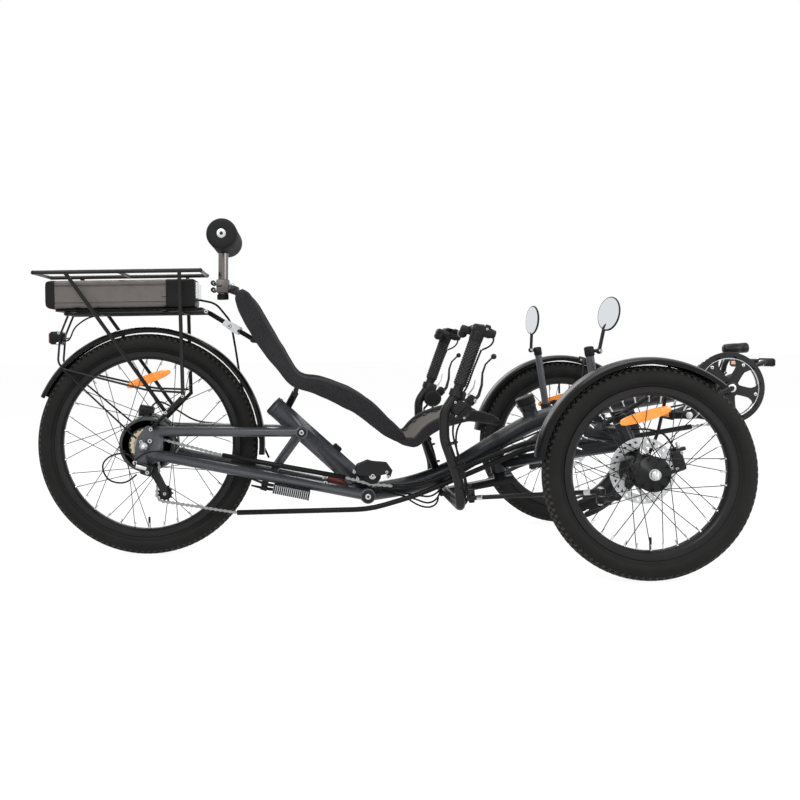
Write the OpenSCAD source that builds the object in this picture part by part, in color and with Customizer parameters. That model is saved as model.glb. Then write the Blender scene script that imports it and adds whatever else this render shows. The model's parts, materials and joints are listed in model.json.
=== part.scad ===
// Recumbent tadpole trike: two steered front wheels, one driven rear wheel.
// +X points forward, +Y to the rider's left, +Z up. All sizes are in millimetres.
// The origin is on the ground, midway between the rear tyre and the front pedal.

/* [Wheels] */
// Distance from the rear axle to the front axles
wheelbase = 1243; // [1180:1:1320]
// Distance between the middles of the two front tyres
track = 750; // [700:1:840]
// Outer diameter of the rear tyre
rear_tyre_d = 607; // [580:1:640]
// Outer diameter of a front tyre
front_tyre_d = 508; // [480:1:530]
// Width of a tyre across its section
tyre_w = 50; // [40:1:56]
// Diameter of the rear rim at the bead
rear_bead_d = 507; // [480:1:520]
// Diameter of a front rim at the bead
front_bead_d = 406; // [380:1:420]
// Depth of a rim from the bead to its inner edge
rim_depth = 20; // [14:1:26]
// Width of a rim
rim_w = 28; // [22:1:32]
// Thickness of a spoke
spoke_d = 2; // [1.6:0.1:2.6]
// Spokes in each wheel
spoke_count = 36; // [24, 28, 32, 36]
// Diameter of a brake disc
disc_d = 160; // [140:1:180]
// Thickness of a brake disc
disc_t = 2; // [1.8:0.1:2.4]

/* [Frame] */
// Diameter of the front main tube
main_tube_d = 50; // [44:1:56]
// Diameter of the diagonal tube behind the seat
diagonal_tube_d = 55; // [48:1:60]
// Diameter of the two cross arms
cross_arm_d = 46; // [38:1:50]
// Diameter of the boom that carries the cranks
boom_d = 40; // [36:1:44]
// Diameter of the lower stays of the swingarm
chainstay_d = 28; // [22:1:30]
// Diameter of the upper stays of the swingarm
upper_stay_d = 26; // [20:1:28]
// Distance from the middle of the trike to a rear dropout plate
dropout_y = 70; // [66:1:80]
// Thickness of a dropout plate
dropout_t = 6; // [4:1:8]
// Diameter of the rear axle
rear_axle_d = 12; // [10:1:14]

/* [Steering] */
// Distance from the middle of the trike to a kingpin's top
kingpin_y = 290; // [270:1:310]
// Angle that a kingpin leans back at its top
caster = 20; // [12:1:24]
// Angle that a kingpin leans inward at its top
kingpin_lean = 9; // [5:1:12]
// Diameter of a kingpin head tube
head_tube_d = 32; // [30:1:36]
// Length of a kingpin head tube
head_tube_l = 74; // [66:1:82]
// Diameter of a kingpin
kingpin_d = 16; // [14:1:20]
// Diameter of a front wheel's spindle
spindle_d = 12; // [10:1:15]
// Distance from the middle of the trike to a hand grip
grip_y = 250; // [235:1:270]
// Diameter of the handlebar tube
bar_d = 25; // [22:1:28]
// Diameter of a hand grip
grip_d = 34; // [30:1:36]
// Angle that the handlebar's pivot leans back at its top
bar_pivot_lean = 10; // [5:1:14]
// Diameter of the drag links
link_d = 12; // [10:1:14]

/* [Drive] */
// Height of the crank axle above the ground
crank_height = 437; // [400:1:470]
// Distance from the rear axle to the crank axle
crank_reach = 1580; // [1540:1:1640]
// Length of a crank arm
crank_l = 170; // [150:1:175]
// Angle of the left crank above level, pointing forward
crank_angle = 22; // [0:1:40]
// Outer radius of the chain guard
guard_r = 97; // [90:1:104]
// Radius of the chainring at its teeth
chainring_r = 90; // [84:1:92]
// Distance from the middle of the trike to the chain
chain_y = 50; // [46:1:56]
// Diameter of a chain tube
chain_tube_d = 14; // [12:1:16]

/* [Seat] */
// Distance from the middle of the trike to a seat rail
seat_rail_y = 138; // [125:1:140]
// Diameter of a seat rail
seat_rail_d = 20; // [16:1:24]
// Thickness of the back pad and the seat pad
pad_t = 34; // [24:1:38]
// Length of the headrest roll
headrest_l = 244; // [200:1:260]
// Diameter of the headrest roll
headrest_d = 82; // [70:1:90]

/* [Rack and battery] */
// Height of the rack's top rails
rack_height = 773; // [760:1:790]
// Distance from the middle of the trike to a top rail
rack_half_w = 92; // [86:1:100]
// Diameter of the rack's tubes
rack_tube_d = 11; // [9:1:13]
// Width of the battery
battery_w = 112; // [96:1:120]
// Height of the battery
battery_h = 78; // [70:1:80]
// Length of the battery
battery_l = 408; // [380:1:420]

/* [Hidden] */
$fn = 48;

// Clearances: a running fit on a shaft, and the gap between parts that only sit close
run_gap = 0.05;
seat_gap = 0.3;

// Main places, as distances from the rear axle and heights above the ground
rear_r = rear_tyre_d / 2;
front_r = front_tyre_d / 2;
pedal_l = 94;
pedal_w = 88;
pedal_t = 24;
reach_front = crank_reach + crank_l * cos(crank_angle) + pedal_l / 2;
mid_x = (reach_front - rear_r) / 2;
crank = [crank_reach, 0, crank_height];

// ---- Helpers --------------------------------------------------------------

function unit(v) = v / norm(v);
function across(u, t) = unit(u - (u * t) * t);

// Moves from the rear axle's frame to the part's own origin
module placed() {
    translate([-mid_x, 0, 0]) children();
}

// Draws on the left side and again, mirrored, on the right side
module both_sides() {
    children();
    mirror([0, 1, 0]) children();
}

// A round bar from point a to point b
module rod(a, b, d) {
    v = b - a;
    translate(a) rotate([0, acos(v.z / norm(v)), atan2(v.y, v.x)])
        cylinder(h = norm(v), d = d);
}

// A round bar that lies across the trike, centred on y
module crossbar(p, d, l) {
    translate(p) rotate([90, 0, 0]) cylinder(h = l, d = d, center = true);
}

// Replaces each inner corner of a path by a curve that starts "cut" before it
function corner(a, p, b, cut, n) =
    let (s = p + unit(a - p) * min(cut, norm(a - p) * 0.49),
         e = p + unit(b - p) * min(cut, norm(b - p) * 0.49))
    [for (k = [0:n]) let (t = k / n) (1 - t) * (1 - t) * s + 2 * t * (1 - t) * p + t * t * e];
function rounded(p, cut, n = 5) =
    [p[0],
     for (i = [1:len(p) - 2]) each corner(p[i - 1], p[i], p[i + 1], cut, n),
     p[len(p) - 1]];

// A round tube swept along a path, as one closed surface
module swept(path, d, sides = 16) {
    n = len(path);
    t = [for (i = [0:n - 1]) unit(path[min(i + 1, n - 1)] - path[max(i - 1, 0)])];
    first = abs(t[0].y) < 0.9 ? [0, 1, 0] : [1, 0, 0];
    u = [for (i = 0, w = across(first, t[0]); i < n; i = i + 1, w = across(w, t[min(i, n - 1)])) w];
    ring = [for (i = [0:n - 1], k = [0:sides - 1])
        let (a = 360 * k / sides)
        path[i] + d / 2 * (cos(a) * u[i] + sin(a) * cross(t[i], u[i]))];
    skin = [for (i = [0:n - 2], k = [0:sides - 1])
        let (a = i * sides + k, b = i * sides + (k + 1) % sides)
        each [[a, a + sides, b], [b, a + sides, b + sides]]];
    start_cap = [for (k = [0:sides - 1]) k];
    end_cap = [for (k = [sides - 1:-1:0]) (n - 1) * sides + k];
    polyhedron(points = ring, faces = concat([start_cap, end_cap], skin));
}

// ---- Wheels -----------------------------------------------------------------

// Tyre about the Z axis: a round carcass with a neck that grips the rim
module tyre_ring(tyre_d, bead_d) {
    carcass_r = tyre_w / 2;
    neck_h = tyre_d / 2 - carcass_r - bead_d / 2;
    rotate_extrude($fn = 96)
        difference() {
            union() {
                translate([tyre_d / 2 - carcass_r, 0]) circle(d = tyre_w);
                translate([bead_d / 2, -rim_w / 2]) square([neck_h, rim_w]);
            }
            translate([0, -tyre_w]) square([bead_d / 2, tyre_w * 2]);
        }
}

// Rim about the Z axis: a box section with a narrower inner edge, and its valve
module rim_ring(bead_d) {
    outer = bead_d / 2 - 0.1;
    inner = bead_d / 2 - rim_depth;
    valve_l = 32;
    rotate_extrude($fn = 96)
        polygon([[inner, -rim_w * 0.25], [inner + rim_depth * 0.4, -rim_w / 2], [outer, -rim_w / 2],
            [outer, rim_w / 2], [inner + rim_depth * 0.4, rim_w / 2], [inner, rim_w * 0.25]]);
    rotate([90, 0, 0]) translate([0, 0, inner - valve_l + 1]) cylinder(h = valve_l, d = 6);
}

// Crossed spokes about the Z axis; each set leans the other way on its flange
module spoke_set(flange_r, flange_z, bead_d, rim_y = 4) {
    per_side = spoke_count / 2;
    hole_r = flange_r - 4;
    end_r = bead_d / 2 - rim_depth + 0.5;
    lean = 62;
    for (side = [-1, 1], i = [0:per_side - 1]) {
        a = 360 * i / per_side + (side > 0 ? 180 / per_side : 0);
        turn = i % 2 == 0 ? lean : -lean;
        z = flange_z * side + (i % 2 == 0 ? 3.2 : -3.2);
        rod([hole_r * cos(a + turn), hole_r * sin(a + turn), z],
            [end_r * cos(a), end_r * sin(a), rim_y * side], spoke_d);
    }
}

// Brake disc about the Z axis, pierced by slots between its arms
module disc() {
    r = disc_d / 2;
    arms = 6;
    difference() {
        cylinder(h = disc_t, r = r, center = true, $fn = 96);
        cylinder(h = disc_t * 3, r = 22, center = true);
        for (i = [0:arms - 1])
            rotate(360 * i / arms) linear_extrude(disc_t * 3, center = true)
                polygon([[r * 0.38, -r * 0.06], [r * 0.78, -r * 0.24],
                    [r * 0.80, r * 0.14], [r * 0.42, r * 0.14]]);
    }
}

// One wheel's hub in front: a pierced flange each side of a barrel, bored for its spindle
module front_hub_shape() {
    difference() {
        union() {
            translate([0, 0, -front_flange_z]) cylinder(h = 4, r = front_flange_r, center = true);
            translate([0, 0, front_flange_z]) cylinder(h = 4, r = front_flange_r, center = true);
            translate([0, 0, -front_disc_in + disc_t / 2 + seat_gap])
                cylinder(h = front_disc_in + front_flange_z + 8, r = 17);
            translate([0, 0, -front_disc_in + disc_t / 2 + seat_gap]) cylinder(h = 7, r = disc_seat_r);
        }
        cylinder(h = 300, d = spindle_d + 2 * run_gap, center = true);
    }
}

// Front axle places
disc_seat_r = 28;
front_flange_r = 42;
front_flange_z = 24;
front_disc_in = 42;
hub_end_out = 36;
kingpin_top_x = wheelbase - 40;
kingpin_top_z = front_r + 122;
kingpin_top = [kingpin_top_x, kingpin_y, kingpin_top_z];
kingpin_down = unit([tan(caster), tan(kingpin_lean), -1]);
function kp(s) = kingpin_top + s * kingpin_down;
// Distance down the kingpin to the height of the axle
axle_drop = (kingpin_top_z - front_r) / -kingpin_down.z;
arm_tip = [wheelbase - 100, kingpin_y + 36, front_r - 70];
arm_bend = [wheelbase - 58, kingpin_y + 31, front_r - 66];

// Frame places
damper_bolt = [487, 0, 196];
function stay_z(x) = rear_r - 24 + (x - 36) / (pivot.x - 36) * (pivot.z - rear_r + 24);
pivot = [601, 0, 158];
pivot_half_w = 29;
main_path = [[601, 0, 160], [722, 0, 177], [833, 0, 216], [917, 0, 267], [1037, 0, 337],
    [1115, 0, 366], [1200, 0, 379]];
main_curve = rounded(main_path, 50, 4);
boom_start = [1200, 0, 379];
diagonal_top = [348, 0, 405];
diagonal_end = [601, 0, 171];
eye = [424, 44, 333];
arm_root = [1118, 0, 338];
bar_pivot = [967, 0, 212];
bar_axis = [-sin(bar_pivot_lean), 0, cos(bar_pivot_lean)];
pivot_boss_d = 40;
bar_pin_d = 16;
function down_bar(s) = bar_pivot - s * bar_axis;

module spin_y() {
    rotate([90, 0, 0]) children();
}

// ---- Frame ------------------------------------------------------------------

module main_tube() {
    color("#17181b") placed() {
        difference() {
            union() {
                swept(main_curve, main_tube_d, 24);
                crossbar(pivot, 44, 2 * pivot_half_w);
                rod(down_bar(-62), down_bar(0), pivot_boss_d);
                rod([1064, 0, 352], [1046, 0, 402], 42);
                rod([1048, 0, 396], [1041, 0, 416], 50);
            }
            rod(down_bar(-30), down_bar(10), bar_pin_d + 2 * run_gap);
        }
    }
}

module main_tube_cut(gap) {
    swept(main_curve, main_tube_d + 2 * gap, 24);
    crossbar(pivot, 44 + 2 * gap, 2 * pivot_half_w + 2 * gap);
}

module diagonal_tube() {
    idler_at = [idler.x, -chain_y + 13, idler.z];
    color("#3a3d42") placed() {
        difference() {
            union() {
                rod(diagonal_top, diagonal_end, diagonal_tube_d);
                crossbar([eye.x, 0, eye.z], 30, 2 * (eye.y - 13));
                rod([580, 0, 200], [idler.x, 0, idler.z], 18);
                rod([idler.x, 9, idler.z], idler_at, 14);
            }
            main_tube_cut(seat_gap);
        }
    }
}

module cross_arms() {
    color("#202225") placed() {
        difference() {
            both_sides() {
                rod(arm_root, kp(44), cross_arm_d);
                rod(kp(8), kp(8 + head_tube_l), head_tube_d);
                rod([978, 0, 236], kp(8 + head_tube_l - 16) + [-4, 0, 0], 30);
            }
            both_sides() rod(kp(-20), kp(140), kingpin_d + 2 * run_gap);
            main_tube_cut(seat_gap);
            rod(down_bar(-80), down_bar(20), pivot_boss_d + 2 * seat_gap);
        }
    }
}

module boom() {
    dir = unit(crank - boom_start);
    shell_w = 68;
    color("#17181b") placed() {
        difference() {
            union() {
                rod(boom_start + dir * seat_gap, boom_start + dir * 34, 56);
                rod(boom_start + dir * 10, crank, boom_d);
                crossbar(crank, 44, shell_w);
            }
            crossbar(crank, crank_axle_d + 2 * run_gap, 2 * shell_w);
        }
    }
}

module dropout_plate() {
    translate([0, dropout_y + dropout_t / 2, 0]) rotate([90, 0, 0]) linear_extrude(dropout_t)
        polygon([[-30, rear_r - 46], [-24, rear_r - 4], [-16, rear_r + 26], [6, rear_r + 54],
            [46, rear_r + 54], [52, rear_r + 20], [48, rear_r - 40], [10, rear_r - 52]]);
}

module swingarm() {
    stay_y = dropout_y + 8;
    color("#3a3d42") placed() {
        difference() {
            union() {
                both_sides() {
                    rod([36, stay_y, rear_r - 24], [pivot.x, pivot_half_w + 16, pivot.z], chainstay_d);
                    rod([43, stay_y, rear_r + 40], [eye.x, eye.y, eye.z], upper_stay_d);
                    rod([eye.x, eye.y, eye.z], [345, 26, 226], 22);
                    crossbar([pivot.x, pivot_half_w + 16, pivot.z], 40, 30);
                    crossbar([eye.x, eye.y, eye.z], 34, 26);
                    dropout_plate();
                }
                crossbar([343, 0, 216], 20, 124);
                crossbar(damper_bolt, 14, 106);
            }
            crossbar([0, 0, rear_r], rear_axle_d + 2 * run_gap, 400);
            crossbar(pivot, 60, 2 * pivot_half_w + 2 * seat_gap);
            crossbar([eye.x, 0, eye.z], 60, 2 * (eye.y - 13) + 2 * seat_gap);
        }
    }
}

module shock() {
    color("#5a1d18") placed() difference() {
        rod(damper_bolt + [7 + seat_gap, 0, 3], [546, 0, 182], 24);
        rod(diagonal_top, diagonal_end, diagonal_tube_d + 2 * seat_gap);
        crossbar(damper_bolt, 14 + 2 * seat_gap, 106);
    }
}

module rear_axle() {
    nut_in = dropout_y + dropout_t / 2 + seat_gap;
    color("#c4c7ca") placed() {
        crossbar([0, 0, rear_r], rear_axle_d, 2 * (dropout_y + 26));
        both_sides() crossbar([0, nut_in + 5, rear_r], 22, 10);
    }
}

// ---- Rear end ---------------------------------------------------------------

module rear_rack() {
    d = rack_tube_d;
    w = rack_half_w;
    low = 664;
    low_y = 50;
    foot = [22, dropout_y + 12, rear_r + 47];
    color("#2b2320") placed() {
        difference() {
            union() {
                both_sides() {
                    rod([-286, w, rack_height], [160, w, rack_height], d);
                    rod([-210, low_y, low], [171, low_y, low], d);
                    rod([-201, w, rack_height - 1], [63, w, 395], d - 0.6);
                    rod([104, w, rack_height - 1], [109, w, 438], d - 0.6);
                    rod([109, w, 438], foot, d - 0.6);
                    for (p = [[-286, w, rack_height], [160, w, rack_height], [-210, low_y, low],
                        [171, low_y, low], [109, w, 438]])
                        translate(p) sphere(d = d + 0.8);
                }
                for (x = [-286, 160, -60]) crossbar([x, 0, rack_height], d - 1.2, 2 * w);
                for (x = [-210, 171]) crossbar([x, 0, low], d - 1.2, 2 * low_y);
                for (x = [-125, 106]) crossbar([x, 0, low + 0.5], d - 1.6, 2 * w);
            }
            crossbar([0, 0, 350], 120, 2 * (dropout_y + dropout_t / 2 + seat_gap));
        }
    }
}

battery_floor = 676;
module battery() {
    color("#2a2a2c") placed()
        translate([-267, -battery_w / 2, battery_floor + seat_gap]) cube([battery_l, battery_w, battery_h]);
}

module battery_base() {
    color("#151515") placed()
        translate([-240, -46, 669.5 + seat_gap]) cube([400, 92, battery_floor - 669.5 - seat_gap]);
}

module tail_light() {
    color("#8a1a12") placed()
        translate([tail_light_x - 40, -26, 578]) cube([40, 52, 42]);
}

module rear_stays() {
    guard_side = 26 + 3 + seat_gap;
    rail_under = rack_height - 109 - 5.2;
    color("#1b1b1b") placed() {
        both_sides() {
            swept(rounded([[-210, guard_side, rail_under], [-232, guard_side, 607], [-239, guard_side, 533],
                [-226, guard_side, 514], [11, 66, 454], [103, 90, 448]], 10, 3), 6, 8);
            rod([-227, guard_side, 513], [-20, dropout_y + dropout_t / 2 + 2.8, rear_r + 22], 5);
        }
        crossbar([tail_light_x + 3 + seat_gap, 0, 598], 5.6, 2 * guard_side);
    }
}

tail_light_x = -226;

module rear_mudguard() {
    r = rear_r + 12;
    color("#111111") placed() {
        translate([0, 0, rear_r]) rotate([90, 0, 0]) rotate(-6) rotate_extrude(angle = 161, $fn = 96)
            polygon([[r, -26], [r + 6, -14], [r + 8, 0], [r + 6, 14], [r, 26], [r - 3, 26],
                [r + 3, 13], [r + 5, 0], [r + 3, -13], [r - 3, -26]]);
    }
}

module controller_box() {
    a = atan2(pivot.z - (rear_r - 24), pivot.x - 36);
    color("#b9bcc0") placed()
        translate([400, -56, stay_z(400)]) rotate([0, -a, 0])
            translate([0, 0, -chainstay_d / 2 - 13 - seat_gap]) cube([98, 50, 26], center = true);
}

module rear_caliper() {
    plate_in = dropout_y - dropout_t / 2 - seat_gap;
    color("#1c1c1e") placed() difference() {
        union() {
            translate([-14, 55.5, rear_r + 84]) rotate([0, 10, 0]) cube([44, 20, 36], center = true);
            rod([-10, 64, rear_r + 78], [24, 64, rear_r + 44], 8);
        }
        crossbar([0, 54, rear_r], disc_d + 8, disc_t + 10);
        translate([-60, plate_in, rear_r - 60]) cube([120, 20, 120]);
    }
}

// ---- Seat -------------------------------------------------------------------

seat_line = [[262, 712], [292, 650], [330, 583], [372, 520], [398, 483], [425, 466], [470, 455],
    [530, 430], [585, 399], [640, 350], [690, 312], [722, 306], [752, 334], [790, 356],
    [862, 374], [938, 360]];
function at_y(p, y) = [p.x, y, p.y];
// The outline of a strip of even thickness along a flat path
function normals(p) = [for (i = [0:len(p) - 1])
    let (d = unit(p[min(i + 1, len(p) - 1)] - p[max(i - 1, 0)])) [-d.y, d.x]];
function strip(p, t, lift) = let (m = normals(p))
    concat([for (i = [0:len(p) - 1]) p[i] + m[i] * (lift + t / 2)],
           [for (i = [len(p) - 1:-1:0]) p[i] + m[i] * (lift - t / 2)]);
pad_half_w = seat_rail_y - seat_rail_d / 2 - seat_gap;

module strip_across(p, t, lift, half_w) {
    translate([0, half_w, 0]) rotate([90, 0, 0]) linear_extrude(2 * half_w) polygon(strip(p, t, lift));
}

module seat_rails() {
    color("#1a1a1a") placed() {
        difference() {
            union() {
                both_sides() swept(rounded([for (p = seat_line) at_y(p, seat_rail_y)], 12, 2), seat_rail_d, 12);
                for (p = [[258, 716], [300, 584], [409, 440], [757, 318], [940, 359.5]])
                    crossbar(at_y(p, 0), 14, 2 * seat_rail_y);
                both_sides() {
                    rod([300, 40, 584], [171, 40, 664], 12);
                    rod([300, seat_rail_y, 584], [322, seat_rail_y, 597], 12);
                    rod([409, seat_rail_y, 440], [416, seat_rail_y, 472], 12);
                }
                rod([409, 0, 440], [383, 0, 392], 20);
                rod([757, 0, 318], [797, 0, 215], 20);
            }
            crossbar([171, 0, 664], rack_tube_d + 2 * seat_gap, 200);
            rod(diagonal_top - [20, 0, -18.5], diagonal_end, diagonal_tube_d + 2 * seat_gap);
            main_tube_cut(seat_gap);
        }
    }
}

module back_pad() {
    color("#1d1d1f") placed()
        strip_across([for (i = [0:4]) seat_line[i] + [4, -3]], pad_t, 8, pad_half_w);
}

module seat_pad() {
    color("#1d1d1f") placed()
        strip_across([for (i = [6:9]) seat_line[i]], pad_t, 8, pad_half_w);
}

module seat_sling() {
    color("#35312e") placed()
        strip_across([for (i = [10:14]) seat_line[i]], 8, 8, pad_half_w);
}

module headrest_post() {
    color("#2a2c30") placed() {
        rod([212, 0, 712], [215, 0, 867 - headrest_d / 2 - seat_gap], 28);
        rod([214, 0, 735], [258 - 7.4, 0, 718], 22);
        translate([196, -22, 716]) cube([34, 44, 38]);
    }
}

module headrest_pad() {
    color("#141414") placed() crossbar([220, 0, 867], headrest_d, headrest_l);
}

// ---- Mirrors, lights and small parts -----------------------------------------

mirror_y = 250;
// The rider turns each head on its stem, so the two don't match.
module mirror_stalk(side, ball, neck, head, turn) {
    foot = [1170, side * mirror_y, 338];
    top = [1143, side * mirror_y, 552];
    knuckle = [ball.x, side * mirror_y, ball.y];
    rod(foot, top, 20);
    rod([1144, side * mirror_y, ball.y - 2], knuckle, 9);
    translate(knuckle) sphere(d = 14);
    rod(knuckle, [neck.x, side * mirror_y, neck.y], 9);
    translate([head.x, side * mirror_y, head.y]) rotate([0, turn.x, side * turn.y]) rotate([0, 90, 0])
        linear_extrude(9, center = true) {
            translate([-13, 0]) circle(d = 62);
            translate([13, 0]) circle(d = 62);
            square([26, 62], center = true);
        }
}

module mirrors() {
    color("#1a1a1a") placed() {
        difference() {
            union() {
                mirror_stalk(-1, [1169, 543], [1182, 600], [1196, 635], [14, -38]);
                mirror_stalk(1, [1124, 546], [1127, 598], [1131, 636], [5, 22]);
            }
            both_sides() rod(arm_root, kp(44), cross_arm_d + 2 * seat_gap);
        }
    }
}

module headlight() {
    color("#1a1a1a") placed() difference() {
        union() {
            rod([1598, 0, 541], [1659, 0, 545], 28);
            rod([1584, 0, 448], [1618, 0, 540], 14);
        }
        crossbar(crank, 44 + 2 * seat_gap, 100);
        rod(boom_start, crank, boom_d + 2 * seat_gap);
    }
}

// ---- Drive --------------------------------------------------------------------

idler = [614, -chain_y, 214];
idler_r = 20;
chain_d = 8;
crank_axle_d = 17;
chain_ring_r = chainring_r + 1;
cog_r = 28;
upper_pulley = [14, -chain_y, rear_r - 56];
lower_pulley = [52, -chain_y, rear_r - 130];
pulley_r = 18;
function on_y(pts) = [for (p = pts) [p.x, -chain_y, p.y]];
function flat(p) = [p.x, p.z];
function arc(c, r, a, b, n) = [for (i = [0:n]) let (t = a + (b - a) * i / n) [c.x + r * cos(t), c.z + r * sin(t)]];
function toward(a, b) = atan2(b.z - a.z, b.x - a.x);
function apart(a, b) = norm([b.x - a.x, b.z - a.z]);
// Angle on wheel a where a belt that crosses over to wheel b leaves it; side picks which face
function crossing(a, ra, b, rb, side) = toward(a, b) + side * acos((ra + rb) / apart(a, b));
// Angle on wheel a where a straight run to the point p leaves it
function leaving(a, ra, p, side) = toward(a, p) + side * acos(ra / apart(a, p));

axle = [0, 0, rear_r];
power_rear = [[208, 274], [541, 209]];
power_front = [[668, 184], [740, 184], [840, 222], [1040, 300], [1150, 300], [1260, 350],
    [1400, 437], [crank_reach - 102, crank_height + 42]];
return_rear = [[246, 118], [606, 122], [728, 156], [840, 200], [1040, 282], [1150, 284],
    [1300, 305], [crank_reach - 100, crank_height - 104]];
tube_gap = 0.6;
function up(p) = [p.x, 0, p.y];

module chain_tubes() {
    color("#141414") placed() {
        swept(on_y(power_rear), chain_tube_d, 10);
        swept(rounded(on_y(power_front), 40, 3), chain_tube_d, 10);
        swept(rounded(on_y(return_rear), 40, 3), chain_tube_d, 10);
    }
}

// A fixed loop: one run at the rear, one over the idler and one round the chainring
module chain() {
    pr = pulley_r + chain_d / 2 + 1;
    rear_in = power_rear[0] - [tube_gap, 0];
    rear_out = return_rear[0] - [tube_gap, 0];
    mid_in = power_rear[1] + [tube_gap, 0];
    mid_out = power_front[0] - [tube_gap, 0];
    front_in = power_front[len(power_front) - 1] + [tube_gap, tube_gap];
    front_out = return_rear[len(return_rear) - 1] + [tube_gap, tube_gap / 2];
    a0 = leaving(axle, cog_r, up(rear_in), 1);
    a1 = crossing(axle, cog_r, upper_pulley, pr, -1) + 360;
    b1 = crossing(upper_pulley, pr, lower_pulley, pr, 1);
    c1 = leaving(lower_pulley, pr, up(rear_out), -1) + 360;
    e0 = leaving(crank, chain_ring_r, up(front_in), -1);
    e1 = leaving(crank, chain_ring_r, up(front_out), 1);
    color("#b4b6b8") placed() {
        swept(on_y(concat([rear_in], arc(axle, cog_r, a0, a1, 12), arc(upper_pulley, pr, a1 - 180, b1, 6),
            arc(lower_pulley, pr, b1 + 180, c1, 6), [rear_out])), chain_d, 8);
        swept(on_y(concat([mid_in], arc(idler, idler_r + 5, 255, 275, 3), [mid_out])), chain_d, 8);
        swept(on_y(concat([front_in], arc(crank, chain_ring_r, e0, e1, 22), [front_out])), chain_d, 8);
    }
}

module idler() {
    color("#141414") placed() crossbar(idler + [0, -2, 0], 2 * idler_r, 18);
}

module derailleur() {
    plate_out = dropout_y + dropout_t / 2 + seat_gap;
    color("#1a1a1a") placed() {
        translate([-6, -plate_out - 22, rear_r - 76]) cube([30, 22, 34]);
        rod([10, -plate_out - 4, rear_r - 64], [10, -chain_y - 7, rear_r - 60], 11);
        rod([upper_pulley.x, -chain_y - 8, upper_pulley.z], [lower_pulley.x, -chain_y - 8, lower_pulley.z], 8);
        for (p = [upper_pulley, lower_pulley]) {
            crossbar(p, 2 * pulley_r, 5);
            crossbar(p - [0, 4, 0], 12, 12);
        }
    }
}

module frame_cables() {
    color("#101010") placed() {
        swept(rounded([[141.5, 20, 700], [190, 20, 690], [228, 62, 640], [240, 78, 560], [252, 84, 470],
            [280, 84, 360], [330, 84, 250]], 20, 3), 6, 8);
    }
}

// ---- Wheels as placed -----------------------------------------------------------

module at_rear() {
    placed() translate([0, 0, rear_r]) rotate([90, 0, 0]) children();
}

module at_front(side) {
    placed() translate([wheelbase, side * track / 2, front_r]) rotate([side > 0 ? -90 : 90, 0, 0])
        children();
}

module rear_tyre() {
    color("#1c1c1c") at_rear() tyre_ring(rear_tyre_d, rear_bead_d);
}
module rear_rim() {
    color("#141416") at_rear() rim_ring(rear_bead_d);
}
module rear_spokes() {
    color("#1f1f1f") at_rear() spoke_set(motor_r - 2, 30, rear_bead_d);
}

motor_r = 75;
module hub_motor() {
    color("#1a1a1c") at_rear() difference() {
        union() {
            cylinder(h = 52, r = motor_r - 3, center = true);
            for (z = [-30, 30]) translate([0, 0, z]) cylinder(h = 3, r = motor_r, center = true);
            cylinder(h = 68, r = 48, center = true);
            cylinder(h = 128, r = 16, center = true);
            translate([0, 0, -54 + disc_t / 2 + seat_gap]) cylinder(h = 8, r = disc_seat_r);
        }
        cylinder(h = 300, d = rear_axle_d + 2 * run_gap, center = true);
    }
}

module cassette() {
    cogs = 4;
    pitch = 2.7;
    chain_slot = chain_d / 2 + seat_gap;
    color("#b59a6a") at_rear() difference() {
        union() {
            for (i = [0:cogs - 1]) translate([0, 0, 34.5 + i * pitch]) cylinder(h = pitch, r = 40 - i * 3);
            translate([0, 0, 34.5]) cylinder(h = chain_y + 9 - 34.5, r = cog_r - chain_slot);
        }
        cylinder(h = 200, r = 16 + seat_gap, center = true);
    }
}

module rear_rotor() {
    color("#c8cacc") at_rear() translate([0, 0, -54]) disc();
}

module front_tyre(side) {
    color("#1c1c1c") at_front(side) tyre_ring(front_tyre_d, front_bead_d);
}
module front_rim(side) {
    color("#141416") at_front(side) rim_ring(front_bead_d);
}
module front_spokes(side) {
    color("#1f1f1f") at_front(side) spoke_set(front_flange_r, front_flange_z, front_bead_d);
}
module front_hub(side) {
    color("#18181a") at_front(side) front_hub_shape();
}
module front_rotor(side) {
    color("#c8cacc") at_front(side) translate([0, 0, -front_disc_in]) disc();
}

module right_tyre() { front_tyre(-1); }
module left_tyre() { front_tyre(1); }
module right_rim() { front_rim(-1); }
module left_rim() { front_rim(1); }
module right_spokes() { front_spokes(-1); }
module left_spokes() { front_spokes(1); }
module right_hub() { front_hub(-1); }
module left_hub() { front_hub(1); }
module right_rotor() { front_rotor(-1); }
module left_rotor() { front_rotor(1); }

// ---- Steering -----------------------------------------------------------------

// Draws a left-hand piece on its own side
module sided(side) {
    if (side > 0) children();
    else mirror([0, 1, 0]) children();
}

module knuckle(side) {
    axle = [wheelbase, 0, front_r];
    block_top = 8 + head_tube_l + 0.5;
    color("#222326") placed() sided(side) {
        rod(kp(-4), kp(axle_drop), kingpin_d);
        rod(kp(-8), kp(7.5), head_tube_d + 4);
        rod(kp(block_top), kp(axle_drop + 14), 28);
        rod([axle.x, kp(axle_drop).y - 4, axle.z], [axle.x, track / 2 + hub_end_out + 4, axle.z], spindle_d);
        rod([axle.x, track / 2 + hub_end_out, axle.z], [axle.x, track / 2 + hub_end_out + 10, axle.z], 22);
        rod([axle.x, kp(axle_drop).y, axle.z], [axle.x, track / 2 - front_disc_in - 6, axle.z], 24);
        rod(kp(axle_drop + 8), arm_bend, 16);
        translate(arm_bend) sphere(d = 16.4);
        rod(arm_bend, arm_tip, 14);
        rod(arm_tip - [0, 0, 8], arm_tip + [0, 0, 8], 22);
    }
}

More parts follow.
